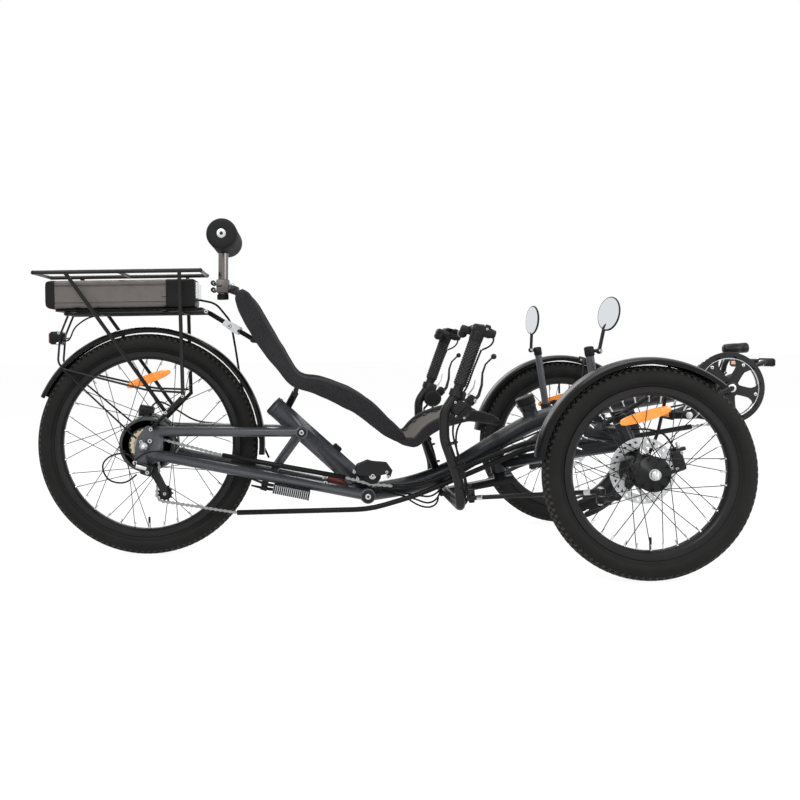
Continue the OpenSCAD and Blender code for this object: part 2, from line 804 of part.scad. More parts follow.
module caliper(side) {
    y = track / 2 - front_disc_in;
    color("#1a1a1c") placed() sided(side) {
        difference() {
            union() {
                translate([wheelbase + 84, y - 3, front_r + 24]) rotate([0, -16, 0]) cube([34, 22, 62], center = true);
                rod([wheelbase + 74, y - 12, front_r + 12], [wheelbase + 8, y - 20, front_r + 2], 9);
            }
            crossbar([wheelbase, y, front_r], disc_d + 8, disc_t + 10);
            rod(kp(60), kp(axle_drop + 14), 28 + 2 * seat_gap);
            crossbar([wheelbase, y - 20, front_r], 24 + 2 * seat_gap, 40);
        }
    }
}

module mudguard(side) {
    r = front_r + 12;
    color("#111111") placed() sided(side) {
        translate([wheelbase, track / 2, front_r]) rotate([90, 0, 0]) rotate(50)
            rotate_extrude(angle = 121, $fn = 96)
                polygon([[r, -30], [r + 6, -16], [r + 8, 0], [r + 6, 16], [r, 30], [r - 3, 30],
                    [r + 3, 15], [r + 5, 0], [r + 3, -15], [r - 3, -30]]);
        difference() {
            swept(rounded([[wheelbase + 8, kp(axle_drop).y + 4, front_r + 2],
                [wheelbase + 44, kp(axle_drop).y + 8, front_r + 90],
                [wheelbase + 58, track / 2 - 38, front_r + 184],
                [wheelbase + 67, track / 2 - 37, front_r + 259],
                [wheelbase + 68, track / 2 - 24, front_r + 262]], 10, 3), 8, 8);
            rod(kp(60), kp(axle_drop + 14), 28 + 2 * seat_gap);
            crossbar([wheelbase, track / 2 - front_disc_in - 22, front_r], 24 + 2 * seat_gap, 60);
        }
    }
}

module right_knuckle() { knuckle(-1); }
module left_knuckle() { knuckle(1); }
module right_caliper() { caliper(-1); }
module left_caliper() { caliper(1); }
module right_mudguard() { mudguard(-1); }
module left_mudguard() { mudguard(1); }

bar_base = [818, 0, 160];
grip_top = [862, grip_y, 577];
grip_low = [819, grip_y, 461];
bar_side = [[872, 604], [812, 442], [780, 396], [780, 326], [798, 274], [816, 215], [818, 160]];
bar_path = concat([for (p = bar_side) [p.x, -grip_y, p.y]],
    [for (i = [len(bar_side) - 1:-1:0]) [bar_side[i].x, grip_y, bar_side[i].y]]);
link_rear = [880, 58, 150];
link_eye_h = 14;
link_pin_lean = 5.6;
function on_link(s) = link_rear + s * [-sin(link_pin_lean), 0, cos(link_pin_lean)];
link_pin_d = 8;
bar_bend = 16;

module handlebar() {
    low = link_eye_h / 2 + 0.5;
    arm_end = on_link(low + 7);
    color("#202123") placed() {
        swept(rounded(bar_path, bar_bend, 4), bar_d, 14);
        rod(down_bar(-26), down_bar(30), bar_pin_d);
        rod(down_bar(0.5), down_bar(34), 34);
        translate(bar_base) rotate([0, -bar_pivot_lean, 0]) translate([-16, -18, -9]) cube([206, 36, 18]);
        both_sides() {
            rod([arm_end.x, 8, arm_end.z], arm_end, 13);
            rod(on_link(low), on_link(low + 15), 22);
            rod(on_link(-low - 2), on_link(low + 2), link_pin_d);
            rod(on_link(-low - 5), on_link(-low), 16);
        }
    }
}

module grips() {
    color("#161616") placed() both_sides()
        difference() {
            rod(grip_low, grip_top, grip_d);
            rod([812, grip_y, 442], [872, grip_y, 604], bar_d + 2 * seat_gap);
        }
}

module bar_controls() {
    color("#151517") placed() both_sides() {
        difference() {
            translate([876, grip_y, 596]) rotate([0, 20, 0]) cube([58, 30, 30], center = true);
            rod([812, grip_y, 442], [872.3, grip_y, 604.8], bar_d + 2 * seat_gap);
            rod(grip_low, grip_top + [0.2, 0, 0.6], grip_d + 2 * seat_gap);
        }
        difference() {
            translate([816, grip_y - 4, 404]) rotate([0, 30, 0]) cube([46, 40, 58], center = true);
            swept(rounded([[862, grip_y, 577], [812, grip_y, 442], [780, grip_y, 396],
                [780, grip_y, 326]], bar_bend, 4), bar_d + 2, 14);
            rod(grip_low, grip_top, grip_d + 2 * seat_gap);
        }
    }
}

// The front end rides above the steering arm with room for the open pivot
module drag_link(side) {
    tip = arm_tip + [0, 0, 8 + 5 + link_eye_h / 2];
    half = [0, 0, link_eye_h / 2];
    color("#3c3d40") placed() sided(side) {
        difference() {
            union() {
                rod(on_link(-link_eye_h / 2), on_link(link_eye_h / 2), 22);
                rod(link_rear, tip, link_d);
                rod(tip - half, tip + half, 22);
            }
            rod(on_link(-link_eye_h), on_link(link_eye_h), link_pin_d + 2 * run_gap);
        }
    }
}
module right_drag_link() { drag_link(-1); }
module left_drag_link() { drag_link(1); }

// ---- Cranks ---------------------------------------------------------------------

arm_in = 63;
arm_t = 14;
crank_end = [crank_l * cos(crank_angle), 0, crank_l * sin(crank_angle)];
pedal_axle_d = 9;
pedal_in = arm_in + arm_t + 12;

module crank_arm(side) {
    end = crank + side * crank_end;
    translate([0, side * (arm_in + arm_t / 2), 0]) {
        crossbar(crank, 34, arm_t);
        crossbar(end, 26, arm_t);
    }
    translate([crank.x, side * (arm_in + arm_t / 2), crank.z])
        rotate([0, -crank_angle - (side > 0 ? 0 : 180), 0])
            rotate([90, 0, 0]) linear_extrude(arm_t - 2, center = true)
                polygon([[0, -15], [crank_l, -10], [crank_l, 10], [0, 15]]);
    translate([0, side * (arm_in + arm_t), 0])
        crossbar(end + [0, side * (pedal_w / 2 + 4), 0], pedal_axle_d, pedal_w + 8 + 12);
}

module crank_arms() {
    color("#1b1c1e") placed() {
        crossbar(crank, crank_axle_d, 2 * (arm_in + 2));
        crank_arm(1);
        crank_arm(-1);
    }
}

module chainring() {
    arms = 5;
    first_arm = 57.6;
    color("#161618") placed() translate([crank.x, 0, crank.z]) rotate([90, 0, 0]) {
        difference() {
            union() {
                translate([0, 0, chain_y - 2]) cylinder(h = 4, r = chain_ring_r - chain_d / 2 - 1, $fn = 96);
                translate([0, 0, chain_y + 8]) cylinder(h = 3, r = guard_r, $fn = 96);
                translate([0, 0, chain_y - 10]) cylinder(h = 20, r = 26);
                translate([0, 0, chain_y]) difference() {
                    cylinder(h = 8, r = 82);
                    translate([0, 0, -1]) cylinder(h = 10, r = 72);
                }
            }
            cylinder(h = 200, d = crank_axle_d + 2 * run_gap, center = true);
            for (i = [0:arms - 1]) rotate(first_arm + 36 + i * 72)
                linear_extrude(200, center = true)
                    polygon([for (t = [-1:0.25:1]) [40 + 6 * abs(t), 22 * t] ,
                        for (t = [1:-0.25:-1]) 76 * [cos(27 * t), sin(27 * t)]]);
        }
    }
}

module pedal(side) {
    c = crank + side * crank_end + [0, side * (pedal_in + pedal_w / 2), 0];
    color("#141414") placed() difference() {
        translate(c) cube([pedal_l, pedal_w, pedal_t], center = true);
        translate(c) for (s = [-1, 1]) translate([s * 27, 0, 0]) cube([24, pedal_w - 16, 60], center = true);
        crossbar(c, pedal_axle_d + 2 * run_gap, 300);
    }
}
module right_pedal() { pedal(-1); }
module left_pedal() { pedal(1); }

main_tube();
diagonal_tube();
cross_arms();
boom();
swingarm();
shock();
rear_axle();
rear_rack();
battery();
battery_base();
tail_light();
rear_stays();
rear_mudguard();
seat_rails();
back_pad();
seat_pad();
seat_sling();
headrest_post();
headrest_pad();
mirrors();
chain();
chain_tubes();
idler();
derailleur();
rear_caliper();
controller_box();
headlight();
frame_cables();
rear_tyre();
rear_rim();
rear_spokes();
hub_motor();
cassette();
rear_rotor();
right_tyre();
right_rim();
right_spokes();
right_hub();
right_rotor();
left_tyre();
left_rim();
left_spokes();
left_hub();
left_rotor();
right_knuckle();
right_caliper();
right_mudguard();
left_knuckle();
left_caliper();
left_mudguard();
handlebar();
grips();
bar_controls();
right_drag_link();
left_drag_link();
crank_arms();
chainring();
right_pedal();
left_pedal();
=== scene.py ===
import json
import math

import bmesh
import bpy
from mathutils import Matrix, Vector


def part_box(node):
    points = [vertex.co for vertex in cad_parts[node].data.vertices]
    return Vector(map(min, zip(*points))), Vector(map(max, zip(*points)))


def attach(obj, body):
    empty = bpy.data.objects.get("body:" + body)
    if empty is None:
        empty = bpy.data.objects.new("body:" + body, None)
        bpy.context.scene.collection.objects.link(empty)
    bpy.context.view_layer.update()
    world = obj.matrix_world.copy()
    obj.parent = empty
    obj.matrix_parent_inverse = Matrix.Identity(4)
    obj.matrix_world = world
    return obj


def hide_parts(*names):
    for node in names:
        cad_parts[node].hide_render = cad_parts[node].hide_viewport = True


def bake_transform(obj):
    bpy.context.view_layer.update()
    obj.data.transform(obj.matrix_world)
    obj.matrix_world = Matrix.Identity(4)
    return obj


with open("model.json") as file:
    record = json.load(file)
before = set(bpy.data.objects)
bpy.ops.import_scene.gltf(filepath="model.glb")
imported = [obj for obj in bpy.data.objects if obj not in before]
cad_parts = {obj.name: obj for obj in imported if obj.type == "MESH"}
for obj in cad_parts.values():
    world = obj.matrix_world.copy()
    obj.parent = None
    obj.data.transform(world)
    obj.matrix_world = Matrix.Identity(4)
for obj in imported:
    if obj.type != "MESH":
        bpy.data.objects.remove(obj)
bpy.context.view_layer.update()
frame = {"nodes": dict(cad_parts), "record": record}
nodes = frame["nodes"]

# %% [markdown]
# ## Places
# Workshop drawings of a trike are measured from the rear axle, in millimetres. The same habit is
# used here: `spot(x, y, z)` takes millimetres from the rear axle's middle, with z from the ground,
# and gives metres in the model's own frame.
# %% Places
MM = 0.001
RIGHT, LEFT = -1, 1
SIDES = {"right": RIGHT, "left": LEFT}


def middle(node):
    low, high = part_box(node)
    return (Vector(low) + Vector(high)) / 2


REAR_X = middle("rear_tyre").x


def spot(x, y, z):
    return Vector((REAR_X + x * MM, y * MM, z * MM))


def mm(point):
    return Vector(((point.x - REAR_X) / MM, point.y / MM, point.z / MM))


REAR_AXLE = mm(middle("rear_tyre"))
FRONT_AXLE = mm(middle("left_tyre"))
TRACK_HALF = FRONT_AXLE.y
CRANK = mm(middle("crank_arms"))
print("front axle", [round(v) for v in FRONT_AXLE], "cranks", [round(v) for v in CRANK])

# %% [markdown]
# ## Camera, lights and floor
# The camera stands level with the seat, square to the trike's side, with its lens shifted, as a
# shop photographer does so that upright lines stay upright. Four large soft lamps and a pale
# world light the trike at a plain level.
# %% Camera and light
scene = bpy.context.scene
camera = bpy.data.objects.new("camera", bpy.data.cameras.new("camera"))
scene.collection.objects.link(camera)
scene.camera = camera
camera.data.sensor_width = 36
camera.data.lens = 41.58
camera.data.shift_x = 0.125
camera.data.shift_y = -0.0625
camera.data.clip_start = 0.05
camera.data.clip_end = 60
camera.location = spot(423, -2555, 556.2)
ROLL = math.radians(0.84)
camera.rotation_euler = (Matrix.Rotation(ROLL, 3, "Y") @ Matrix.Rotation(math.radians(90), 3, "X")).to_euler()
scene.view_settings.view_transform = "Standard"


def lamp(name, location, target, size, power):
    data = bpy.data.lights.new(name, "AREA")
    data.shape, data.size, data.energy = "DISK", size, power
    holder = bpy.data.objects.new(name, data)
    scene.collection.objects.link(holder)
    holder.location = location
    aim = Vector(target) - Vector(location)
    holder.rotation_euler = aim.to_track_quat("-Z", "Y").to_euler()


lamp("key_lamp", (-1.6, -3.2, 3.4), (0, 0, 0.4), 3.0, 130)
lamp("fill_lamp", (3.0, -2.6, 1.8), (0.3, 0, 0.4), 2.5, 60)
lamp("top_lamp", (0.2, 0.6, 4.2), (0, 0, 0.4), 3.5, 90)
lamp("back_lamp", (-1.0, 3.4, 2.4), (0, 0, 0.5), 2.5, 45)


# %% [markdown]
# The floor and world look white to the camera and in reflections, through Light Path, while the
# trike itself is lit at a plain level. The floor keeps a soft shadow.
# %% World and floor
def white_for_camera(tree, plain_strength, seen_strength):
    path = tree.nodes.new("ShaderNodeLightPath")
    seen = tree.nodes.new("ShaderNodeMath")
    seen.operation = "MAXIMUM"
    tree.links.new(path.outputs["Is Camera Ray"], seen.inputs[0])
    tree.links.new(path.outputs["Is Glossy Ray"], seen.inputs[1])
    level = tree.nodes.new("ShaderNodeMapRange")
    tree.links.new(seen.outputs[0], level.inputs[0])
    level.inputs[3].default_value, level.inputs[4].default_value = plain_strength, seen_strength
    return level


world = bpy.data.worlds.new("studio")
scene.world = world
world.use_nodes = True
sky = world.node_tree.nodes["Background"]
sky.inputs["Color"].default_value = (1, 1, 1, 1)
world.node_tree.links.new(white_for_camera(world.node_tree, 0.55, 1.0).outputs[0], sky.inputs["Strength"])

floor_data = bpy.data.meshes.new("floor")
floor_data.from_pydata([(-40, -40, 0), (40, -40, 0), (40, 40, 0), (-40, 40, 0)], [], [(0, 1, 2, 3)])
floor = bpy.data.objects.new("floor", floor_data)
scene.collection.objects.link(floor)
floor_look = bpy.data.materials.new("pale_floor")
floor_look.use_nodes = True
tree = floor_look.node_tree
tree.nodes["Principled BSDF"].inputs["Base Color"].default_value = (0.86, 0.86, 0.86, 1)
tree.nodes["Principled BSDF"].inputs["Roughness"].default_value = 0.9
glow = tree.nodes.new("ShaderNodeEmission")
glow.inputs["Strength"].default_value = 1.06
mix = tree.nodes.new("ShaderNodeMixShader")
tree.links.new(white_for_camera(tree, 0.0, 0.86).outputs[0], mix.inputs[0])
tree.links.new(tree.nodes["Principled BSDF"].outputs[0], mix.inputs[1])
tree.links.new(glow.outputs[0], mix.inputs[2])
tree.links.new(mix.outputs[0], tree.nodes["Material Output"].inputs["Surface"])
floor_data.materials.append(floor_look)


# %% [markdown]
# ## Shader maths as plain expressions
# A material is a tree of nodes, and long trees are hard to read as wires. `Wire` wraps one socket,
# and its operators add the Math nodes, so a mask reads as `film * 0.14 + grit`. `Finish` holds one
# material: `add` makes any other node, and `set` feeds the shader.
# %% Shader helpers
class Wire:
    def __init__(self, finish, socket):
        self.finish, self.socket = finish, socket

    def math(self, operation, first, second=None):
        values = {0: first} if second is None else {0: first, 1: second}
        return self.finish.add("ShaderNodeMath", dict(operation=operation), values)

    def __add__(self, other):
        return self.math("ADD", self, other)

    def __sub__(self, other):
        return self.math("SUBTRACT", self, other)

    def __mul__(self, other):
        return self.math("MULTIPLY", self, other)

    def __gt__(self, other):
        return self.math("GREATER_THAN", self, other)

    __radd__ = __add__

    def between(self, low, high, start=0.0, end=1.0):
        """Maps low..high onto start..end and stops there."""
        return self.finish.add(
            "ShaderNodeMapRange", dict(clamp=True), {0: self, 1: low, 2: high, 3: start, 4: end}
        )


class Finish:
    def __init__(self, name, color, roughness=0.5, metallic=0.0, coat=0.0, slot=None, gloss=0.5):
        self.name, self.slot = name, slot or name
        self.material = bpy.data.materials.new(name)
        self.material.use_nodes = True
        self.tree = self.material.node_tree
        self.shader = self.tree.nodes["Principled BSDF"]
        self.material.diffuse_color = (*color, 1)
        self.set("Base Color", (*color, 1))
        self.set("Roughness", roughness)
        self.set("Metallic", metallic)
        self.set("Coat Weight", coat)
        self.shader.inputs["Coat Roughness"].default_value = 0.08
        self.shader.inputs["Specular IOR Level"].default_value = gloss

    def feed(self, socket, value):
        if isinstance(value, Wire):
            self.tree.links.new(value.socket, socket)
        else:
            socket.default_value = value

    def add(self, kind, settings=None, inputs=None, output=0):
        node = self.tree.nodes.new(kind)
        for key, value in (settings or {}).items():
            setattr(node, key, value)
        for key, value in (inputs or {}).items():
            self.feed(node.inputs[key], value)
        return Wire(self, node.outputs[output])

    def set(self, socket, value):
        self.feed(self.shader.inputs[socket], value)

    def place(self, stretch=None):
        where = self.add("ShaderNodeTexCoord", output="Object")
        if stretch is None:
            return where
        return self.add("ShaderNodeMapping", None, {"Vector": where, "Scale": stretch})

    def noise(self, scale, detail=4.0, rough=0.55, stretch=None):
        return self.add(
            "ShaderNodeTexNoise", None,
            {"Vector": self.place(stretch), "Scale": scale, "Detail": detail, "Roughness": rough},
        )

    def cells(self, scale, feature="F1", stretch=None, output="Distance"):
        return self.add(
            "ShaderNodeTexVoronoi", dict(feature=feature),
            {"Vector": self.place(stretch), "Scale": scale}, output,
        )

    def blend(self, factor, first, second):
        node = self.tree.nodes.new("ShaderNodeMix")
        node.data_type = "RGBA"
        self.feed(node.inputs[0], factor)
        for socket, value in ((node.inputs[6], first), (node.inputs[7], second)):
            self.feed(socket, value if isinstance(value, Wire) else (*value, 1))
        return Wire(self, node.outputs[2])

    def bump(self, height, strength=0.3, distance=0.0005):
        made = self.add(
            "ShaderNodeBump", None, {"Height": height, "Strength": strength, "Distance": distance}
        )
        self.set("Normal", made)


# %% [markdown]
# ## Painted and plated metal
# Powder coat has a faint orange-peel surface and dust that dulls it in patches. Brushed or turned
# metal has long fine scratches instead. Both come from noise at the real scale: peel about 1 mm,
# dust about 10 cm.
# %% Metal finishes
def painted(name, color, roughness, peel=0.05, dust=0.25, flake=0.0, coat=0.0, metallic=0.0, slot=None):
    made = Finish(name, color, roughness, metallic, coat, slot, gloss=0.24)
    film = made.noise(9, 5).between(0.42, 0.72)
    grit = made.noise(900, 2)
    lighter = tuple(min(1, c * 1.5 + 0.008) for c in color)
    tone = made.blend(film * dust, color, lighter)
    if flake:
        spark = made.cells(2600, output="Color")
        value = made.add("ShaderNodeSeparateColor", None, {0: spark}, 0)
        tone = made.blend((value > 0.86) * flake, tone, tuple(min(1, c * 3 + 0.05) for c in color))
    made.set("Base Color", tone)
    made.set("Roughness", roughness + film * 0.14 + grit * 0.05)
    made.bump(made.noise(420, 3), peel, 0.0004)
    return made


def bare(name, color, roughness, stretch=(1, 1, 1), scratch=0.25, stain=0.3, slot=None):
    made = Finish(name, color, roughness, 1.0, slot=slot)
    lines = made.noise(700, 3, stretch=stretch)
    patch = made.noise(38, 4).between(0.45, 0.8)
    made.set("Base Color", made.blend(patch * stain, color, tuple(c * 0.62 for c in color)))
    made.set("Roughness", roughness + lines * 0.16 + patch * 0.12)
    made.bump(lines, scratch, 0.00015)
    return made


FRAME_BLACK = painted("frame_black", (0.009, 0.0105, 0.013), 0.3, flake=0.2, coat=0.12)
GRAPHITE = painted("frame_graphite", (0.05, 0.053, 0.06), 0.3, flake=0.5, coat=0.25, metallic=0.2)
BLACK_METAL = painted("black_metal", (0.007, 0.007, 0.0075), 0.32, peel=0.04)
RACK_PAINT = painted("rack_paint", (0.007, 0.0065, 0.006), 0.32)
RED_BROWN = painted("red_brown", (0.16, 0.028, 0.018), 0.5)
STEEL = bare("steel", (0.56, 0.57, 0.58), 0.26, (1, 1, 1))
ALLOY = bare("alloy", (0.62, 0.63, 0.65), 0.32, (1, 14, 1))
GREY_ALLOY = bare("battery_case", (0.125, 0.114, 0.108), 0.4, (0.06, 1, 3))
# Silver nuts are plain grey paint, not metal: their lightness is a painted reflection that stays light whatever
# the metal would mirror.
GREY_PAINTED_REFLECTION = painted("painted_reflection_grey", (0.42, 0.42, 0.43), 0.28, slot="steel")
BRASS = bare("cog_brass", (0.62, 0.53, 0.34), 0.3)
DISC_STEEL = bare("disc_steel", (0.60, 0.61, 0.62), 0.22, slot="steel")


# %% [markdown]
# ## Plastics, rubber and lenses
# Moulded plastic has a fine grain pressed in by its mould. Tyre rubber is duller, with a brownish
# bloom and dust in its tread. Reflectors are prisms under a clear face, and each prism cell is
# painted lighter or darker, as painted highlights and shade on its facets.
# %% Plastic, rubber and lens finishes
def moulded(name, color, roughness=0.5, grain=1500, depth=0.25, dust=0.2, slot=None):
    made = Finish(name, color, roughness, slot=slot, gloss=0.12)
    film = made.noise(14, 5).between(0.45, 0.75)
    pits = made.cells(grain)
    made.set("Base Color", made.blend(film * dust, color, tuple(min(1, c * 1.6 + 0.008) for c in color)))
    made.set("Roughness", roughness + film * 0.12 - pits * 0.06)
    made.bump(pits, depth, 0.0003)
    return made


PLASTIC = moulded("black_plastic", (0.008, 0.008, 0.0085), 0.42)
GUARD_PLASTIC = moulded("guard_plastic", (0.006, 0.006, 0.0062), 0.24, 800, 0.06, slot="black_plastic")
RUBBER = moulded("rubber", (0.009, 0.009, 0.009), 0.6, 1100, 0.3)
TYRE = moulded("tyre_rubber", (0.0085, 0.0083, 0.008), 0.62, 900, 0.35, dust=0.4)
FOAM = moulded("foam_grip", (0.014, 0.014, 0.0145), 0.78, 700, 0.8, slot="rubber")
GRIP = painted("grip_rubber", (0.009, 0.009, 0.0095), 0.36, slot="rubber")
TREAD = moulded("tread_rubber", (0.03, 0.028, 0.026), 0.7, 900, 0.4, dust=0.6, slot="tyre_rubber")
SPOKE = painted("spoke_steel", (0.008, 0.008, 0.008), 0.34)
MOTOR_PAINT = painted("motor_paint", (0.045, 0.046, 0.048), 0.36, slot="black_metal")


def lens(name, color, roughness, scale, slot):
    made = Finish(name, color, roughness, coat=1.0, slot=slot)
    # Each prism cell is painted lighter or darker: painted highlights and shade on the facets.
    prism_facet_highlight = made.cells(scale, output="Color")
    value = made.add("ShaderNodeSeparateColor", None, {0: prism_facet_highlight}, 0)
    made.set("Base Color", made.blend(value, tuple(c * 0.8 for c in color), color))
    made.bump(made.cells(scale), 0.8, 0.0006)
    return made


ORANGE_LENS = lens("orange_lens", (1.0, 0.29, 0.01), 0.22, 420, "red_lens")
RED_LENS = lens("red_lens", (0.42, 0.012, 0.01), 0.2, 300, "red_lens")
CLEAR_LENS = lens("clear_lens", (0.75, 0.77, 0.8), 0.12, 260, "alloy")
MIRROR_GLASS = Finish("mirror_glass", (0.72, 0.74, 0.76), 0.03, 1.0, slot="steel")
smear = MIRROR_GLASS.noise(24, 5).between(0.5, 0.8)
MIRROR_GLASS.set("Roughness", 0.03 + smear * 0.12)


# %% [markdown]
# ## Seat cloth
# The cushions wear a black spacer mesh: a knit of small round holes. The front panel is a
# grey-brown open weave. Both are seen close up, so the knit is in the bump and in the colour, at its
# real pitch of 3 to 5 mm. The holes are painted darker than the thread, as painted shade in and
# behind them.
# %% Cloth finishes
def knitted(name, thread, hole, pitch, roughness=0.85, depth=0.9, slot="seat_fabric"):
    made = Finish(name, thread, roughness, slot=slot, gloss=0.1)
    knit = made.cells(1 / pitch, stretch=(1, 1, 1))
    hole_depth_and_shade = knit.between(0.34, 0.16)
    fuzz = made.noise(2400, 2)
    worn = made.noise(11, 4).between(0.4, 0.75)
    # The hole colour is painted shade: each hole is painted darker than the thread round it.
    tone = made.blend(hole_depth_and_shade, thread, hole)
    tone = made.blend(worn * 0.3, tone, tuple(min(1, c * 1.7 + 0.01) for c in thread))
    made.set("Base Color", tone)
    made.set("Roughness", roughness + fuzz * 0.1)
    made.bump(hole_depth_and_shade * -1.0 + fuzz * 0.15, depth, 0.0008)
    made.shader.inputs["Sheen Weight"].default_value = 0.1
    made.shader.inputs["Sheen Roughness"].default_value = 0.5
    return made


CUSHION = knitted("seat_fabric", (0.016, 0.016, 0.0175), (0.003, 0.003, 0.003), 0.0045)
SLING = knitted("seat_mesh", (0.062, 0.053, 0.046), (0.008, 0.007, 0.006), 0.0032, slot="seat_mesh")
WEBBING = knitted("webbing", (0.018, 0.018, 0.019), (0.006, 0.006, 0.006), 0.0016, 0.8, slot="seat_fabric")
print("finishes:", len(bpy.data.materials))

# %% [markdown]
# ## A bench for making shapes
# Most of a trike is tube, turned parts and plate. `Shape` collects these in one mesh, in
# millimetres, and `piece` turns it into an object that rides on its CAD body. Each form can have a
# finish of its own, so a lever and its silver bolt stay one piece.
# %% Shape helpers
def unit_frame(axis):
    """Two directions square to the axis."""
    axis = Vector(axis).normalized()
    first = Vector((0, 0, 1)) if abs(axis.z) < 0.9 else Vector((1, 0, 0))
    side = axis.cross(first).normalized()
    return side, axis.cross(side).normalized(), axis


def rounded(points, bend=12.0, steps=5):
    """The path with each inner corner bent round instead of sharp."""
    points = [Vector(p) for p in points]
    path = [points[0]]
    for before, here, after in zip(points, points[1:], points[2:]):
        a, b = before - here, after - here
        cut_a = here + a.normalized() * min(bend, a.length * 0.48)
        cut_b = here + b.normalized() * min(bend, b.length * 0.48)
        for i in range(steps + 1):
            t = i / steps
            path.append(cut_a * (1 - t) ** 2 + here * 2 * t * (1 - t) + cut_b * t * t)
    path.append(points[-1])
    return path


def mirrored(points, side):
    return [Vector((p[0], p[1] * side, p[2])) for p in points]


class Shape:
    def __init__(self):
        self.mesh = bmesh.new()
        self.finishes = []

    def index(self, finish):
        if finish not in self.finishes:
            self.finishes.append(finish)
        return self.finishes.index(finish)

    def skin(self, rings, finish, closed=False, caps=True):
        """Joins rings of points into a tube-like skin."""
        slot = self.index(finish)
        made = [[self.mesh.verts.new(p) for p in ring] for ring in rings]
        pairs = list(zip(made, made[1:] + made[:1] if closed else made[1:]))
        for low, high in pairs:
            count = len(low)
            for k in range(count):
                n = (k + 1) % count
                self.mesh.faces.new((low[k], low[n], high[n], high[k])).material_index = slot
        if caps and not closed:
            self.mesh.faces.new(list(reversed(made[0]))).material_index = slot
            self.mesh.faces.new(made[-1]).material_index = slot
        return self

    def tube(self, points, width, finish, sides=20, bend=0, widths=None, flat=1.0):
        """A round bar along a path. widths gives a width at each point; flat squashes it."""
        path = rounded(points, bend) if bend else [Vector(p) for p in points]
        rings, side = [], None
        for i, here in enumerate(path):
            run = (path[min(i + 1, len(path) - 1)] - path[max(i - 1, 0)]).normalized()
            side = unit_frame(run)[0] if side is None else (side - run * side.dot(run)).normalized()
            up = run.cross(side)
            size = (widths[i] if widths else width) / 2
            turns = [2 * math.pi * k / sides for k in range(sides)]
            rings.append([here + side * math.cos(t) * size + up * math.sin(t) * size * flat for t in turns])
        return self.skin(rings, finish)

    def turned(self, profile, centre, axis, finish, sides=48, closed=False):
        """A lathe part: profile is (radius, distance along the axis) from end to end."""
        side, up, axis = unit_frame(axis)
        centre = Vector(centre)
        turns = [2 * math.pi * k / sides for k in range(sides)]
        rings = [
            [centre + axis * along + (side * math.cos(t) + up * math.sin(t)) * max(radius, 0.01) for t in turns]
            for radius, along in profile
        ]
        return self.skin(rings, finish, closed=closed)

    def disc(self, centre, axis, radius, thick, finish, edge=0.6, sides=48, hole=0):
        half = thick / 2
        profile = [(radius - edge, -half), (radius, -half + edge), (radius, half - edge), (radius - edge, half)]
        if hole:
            return self.turned([(hole, -half), *profile, (hole, half)], centre, axis, finish, sides, True)
        return self.turned(profile, centre, axis, finish, sides)

    def ball(self, centre, radius, finish, sides=20):
        angles = [math.pi * i / 10 for i in range(1, 10)]
        profile = [(radius * math.sin(a), -radius * math.cos(a)) for a in angles]
        return self.turned(profile, centre, (0, 0, 1), finish, sides)

    def block(self, size, centre, finish, turn=(0, 0, 0), soft=1.5, steps=2):
        """A box with rounded edges. turn is in degrees about X, Y and Z."""
        slot = self.index(finish)
        matrix = Matrix.Translation(Vector(centre))
        for axis, angle in zip("ZYX", reversed(turn)):
            matrix = matrix @ Matrix.Rotation(math.radians(angle), 4, axis)
        made = bmesh.ops.create_cube(self.mesh, size=1, matrix=matrix @ Matrix.Diagonal((*size, 1)))
        faces = {f for v in made["verts"] for f in v.link_faces}
        for f in faces:
            f.material_index = slot
        edges = list({e for v in made["verts"] for e in v.link_edges})
        if soft:
            cut = bmesh.ops.bevel(
                self.mesh, geom=edges, offset=min(soft, min(size) * 0.45), segments=steps,
                affect="EDGES", profile=0.5, clamp_overlap=True,
            )
            for f in cut["faces"]:
                f.material_index = slot
        return self

    def plate(self, outline, thick, origin, across, up, finish):
        """A flat plate: its outline in two directions from the origin, centred on them."""
        across, up = Vector(across).normalized(), Vector(up).normalized()
        out = across.cross(up)
        origin = Vector(origin)
        flat = [origin + across * p[0] + up * p[1] for p in outline]
        rings = [[p + out * s for p in flat] for s in (-thick / 2, thick / 2)]
        return self.skin(rings, finish)

    def bolt(self, centre, axis, width, finish, head=None):
        """A cap screw: its round head, with a flat black hexagon on top as the painted shade of its hex socket.
        """
        head = head or width * 0.55
        r = width / 2
        self.turned([(r * 0.9, 0), (r, head * 0.2), (r, head * 0.8), (r * 0.86, head), (r * 0.5, head)],
                    centre, axis, finish, 16)
        axis = Vector(axis).normalized()
        # The socket is not cut: a thin black hexagon on the head is its painted shade.
        return self.turned([(r * 0.46, 0), (r * 0.46, 0.25)], Vector(centre) + axis * head, axis, BLACK_METAL,
            6)

    def piece(self, name, body, replaces=(), angle=38, bevel=0.0):
        bmesh.ops.recalc_face_normals(self.mesh, faces=self.mesh.faces[:])
        data = bpy.data.meshes.new(name)
        for vertex in self.mesh.verts:
            vertex.co = spot(*vertex.co)
        self.mesh.to_mesh(data)
        self.mesh.free()
        return as_piece(name, data, self.finishes, body, replaces, angle, bevel)


def as_piece(name, data, finishes, body, replaces=(), angle=38, bevel=0.0):
    """Makes the object, gives it its finishes and hands it to its CAD body."""
    if finishes:
        if data.materials:
            data.materials.clear()
        for finish in finishes:
            data.materials.append(finish.material)
    data.shade_smooth()
    data.set_sharp_from_angle(angle=math.radians(angle))
    made = bpy.data.objects.new(name, data)
    scene.collection.objects.link(made)
    if bevel:
        round_off = made.modifiers.new("soft_edges", "BEVEL")
        round_off.width, round_off.segments = bevel * MM, 2
        round_off.limit_method, round_off.angle_limit = "ANGLE", math.radians(40)
        round_off.harden_normals = False
    if body:
        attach(made, body)
    if replaces:
        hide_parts(*([replaces] if isinstance(replaces, str) else replaces))
    return made


BODY_OF = {node: body for body, members in frame["record"]["behaviour"]["bodies"].items() for node in members}
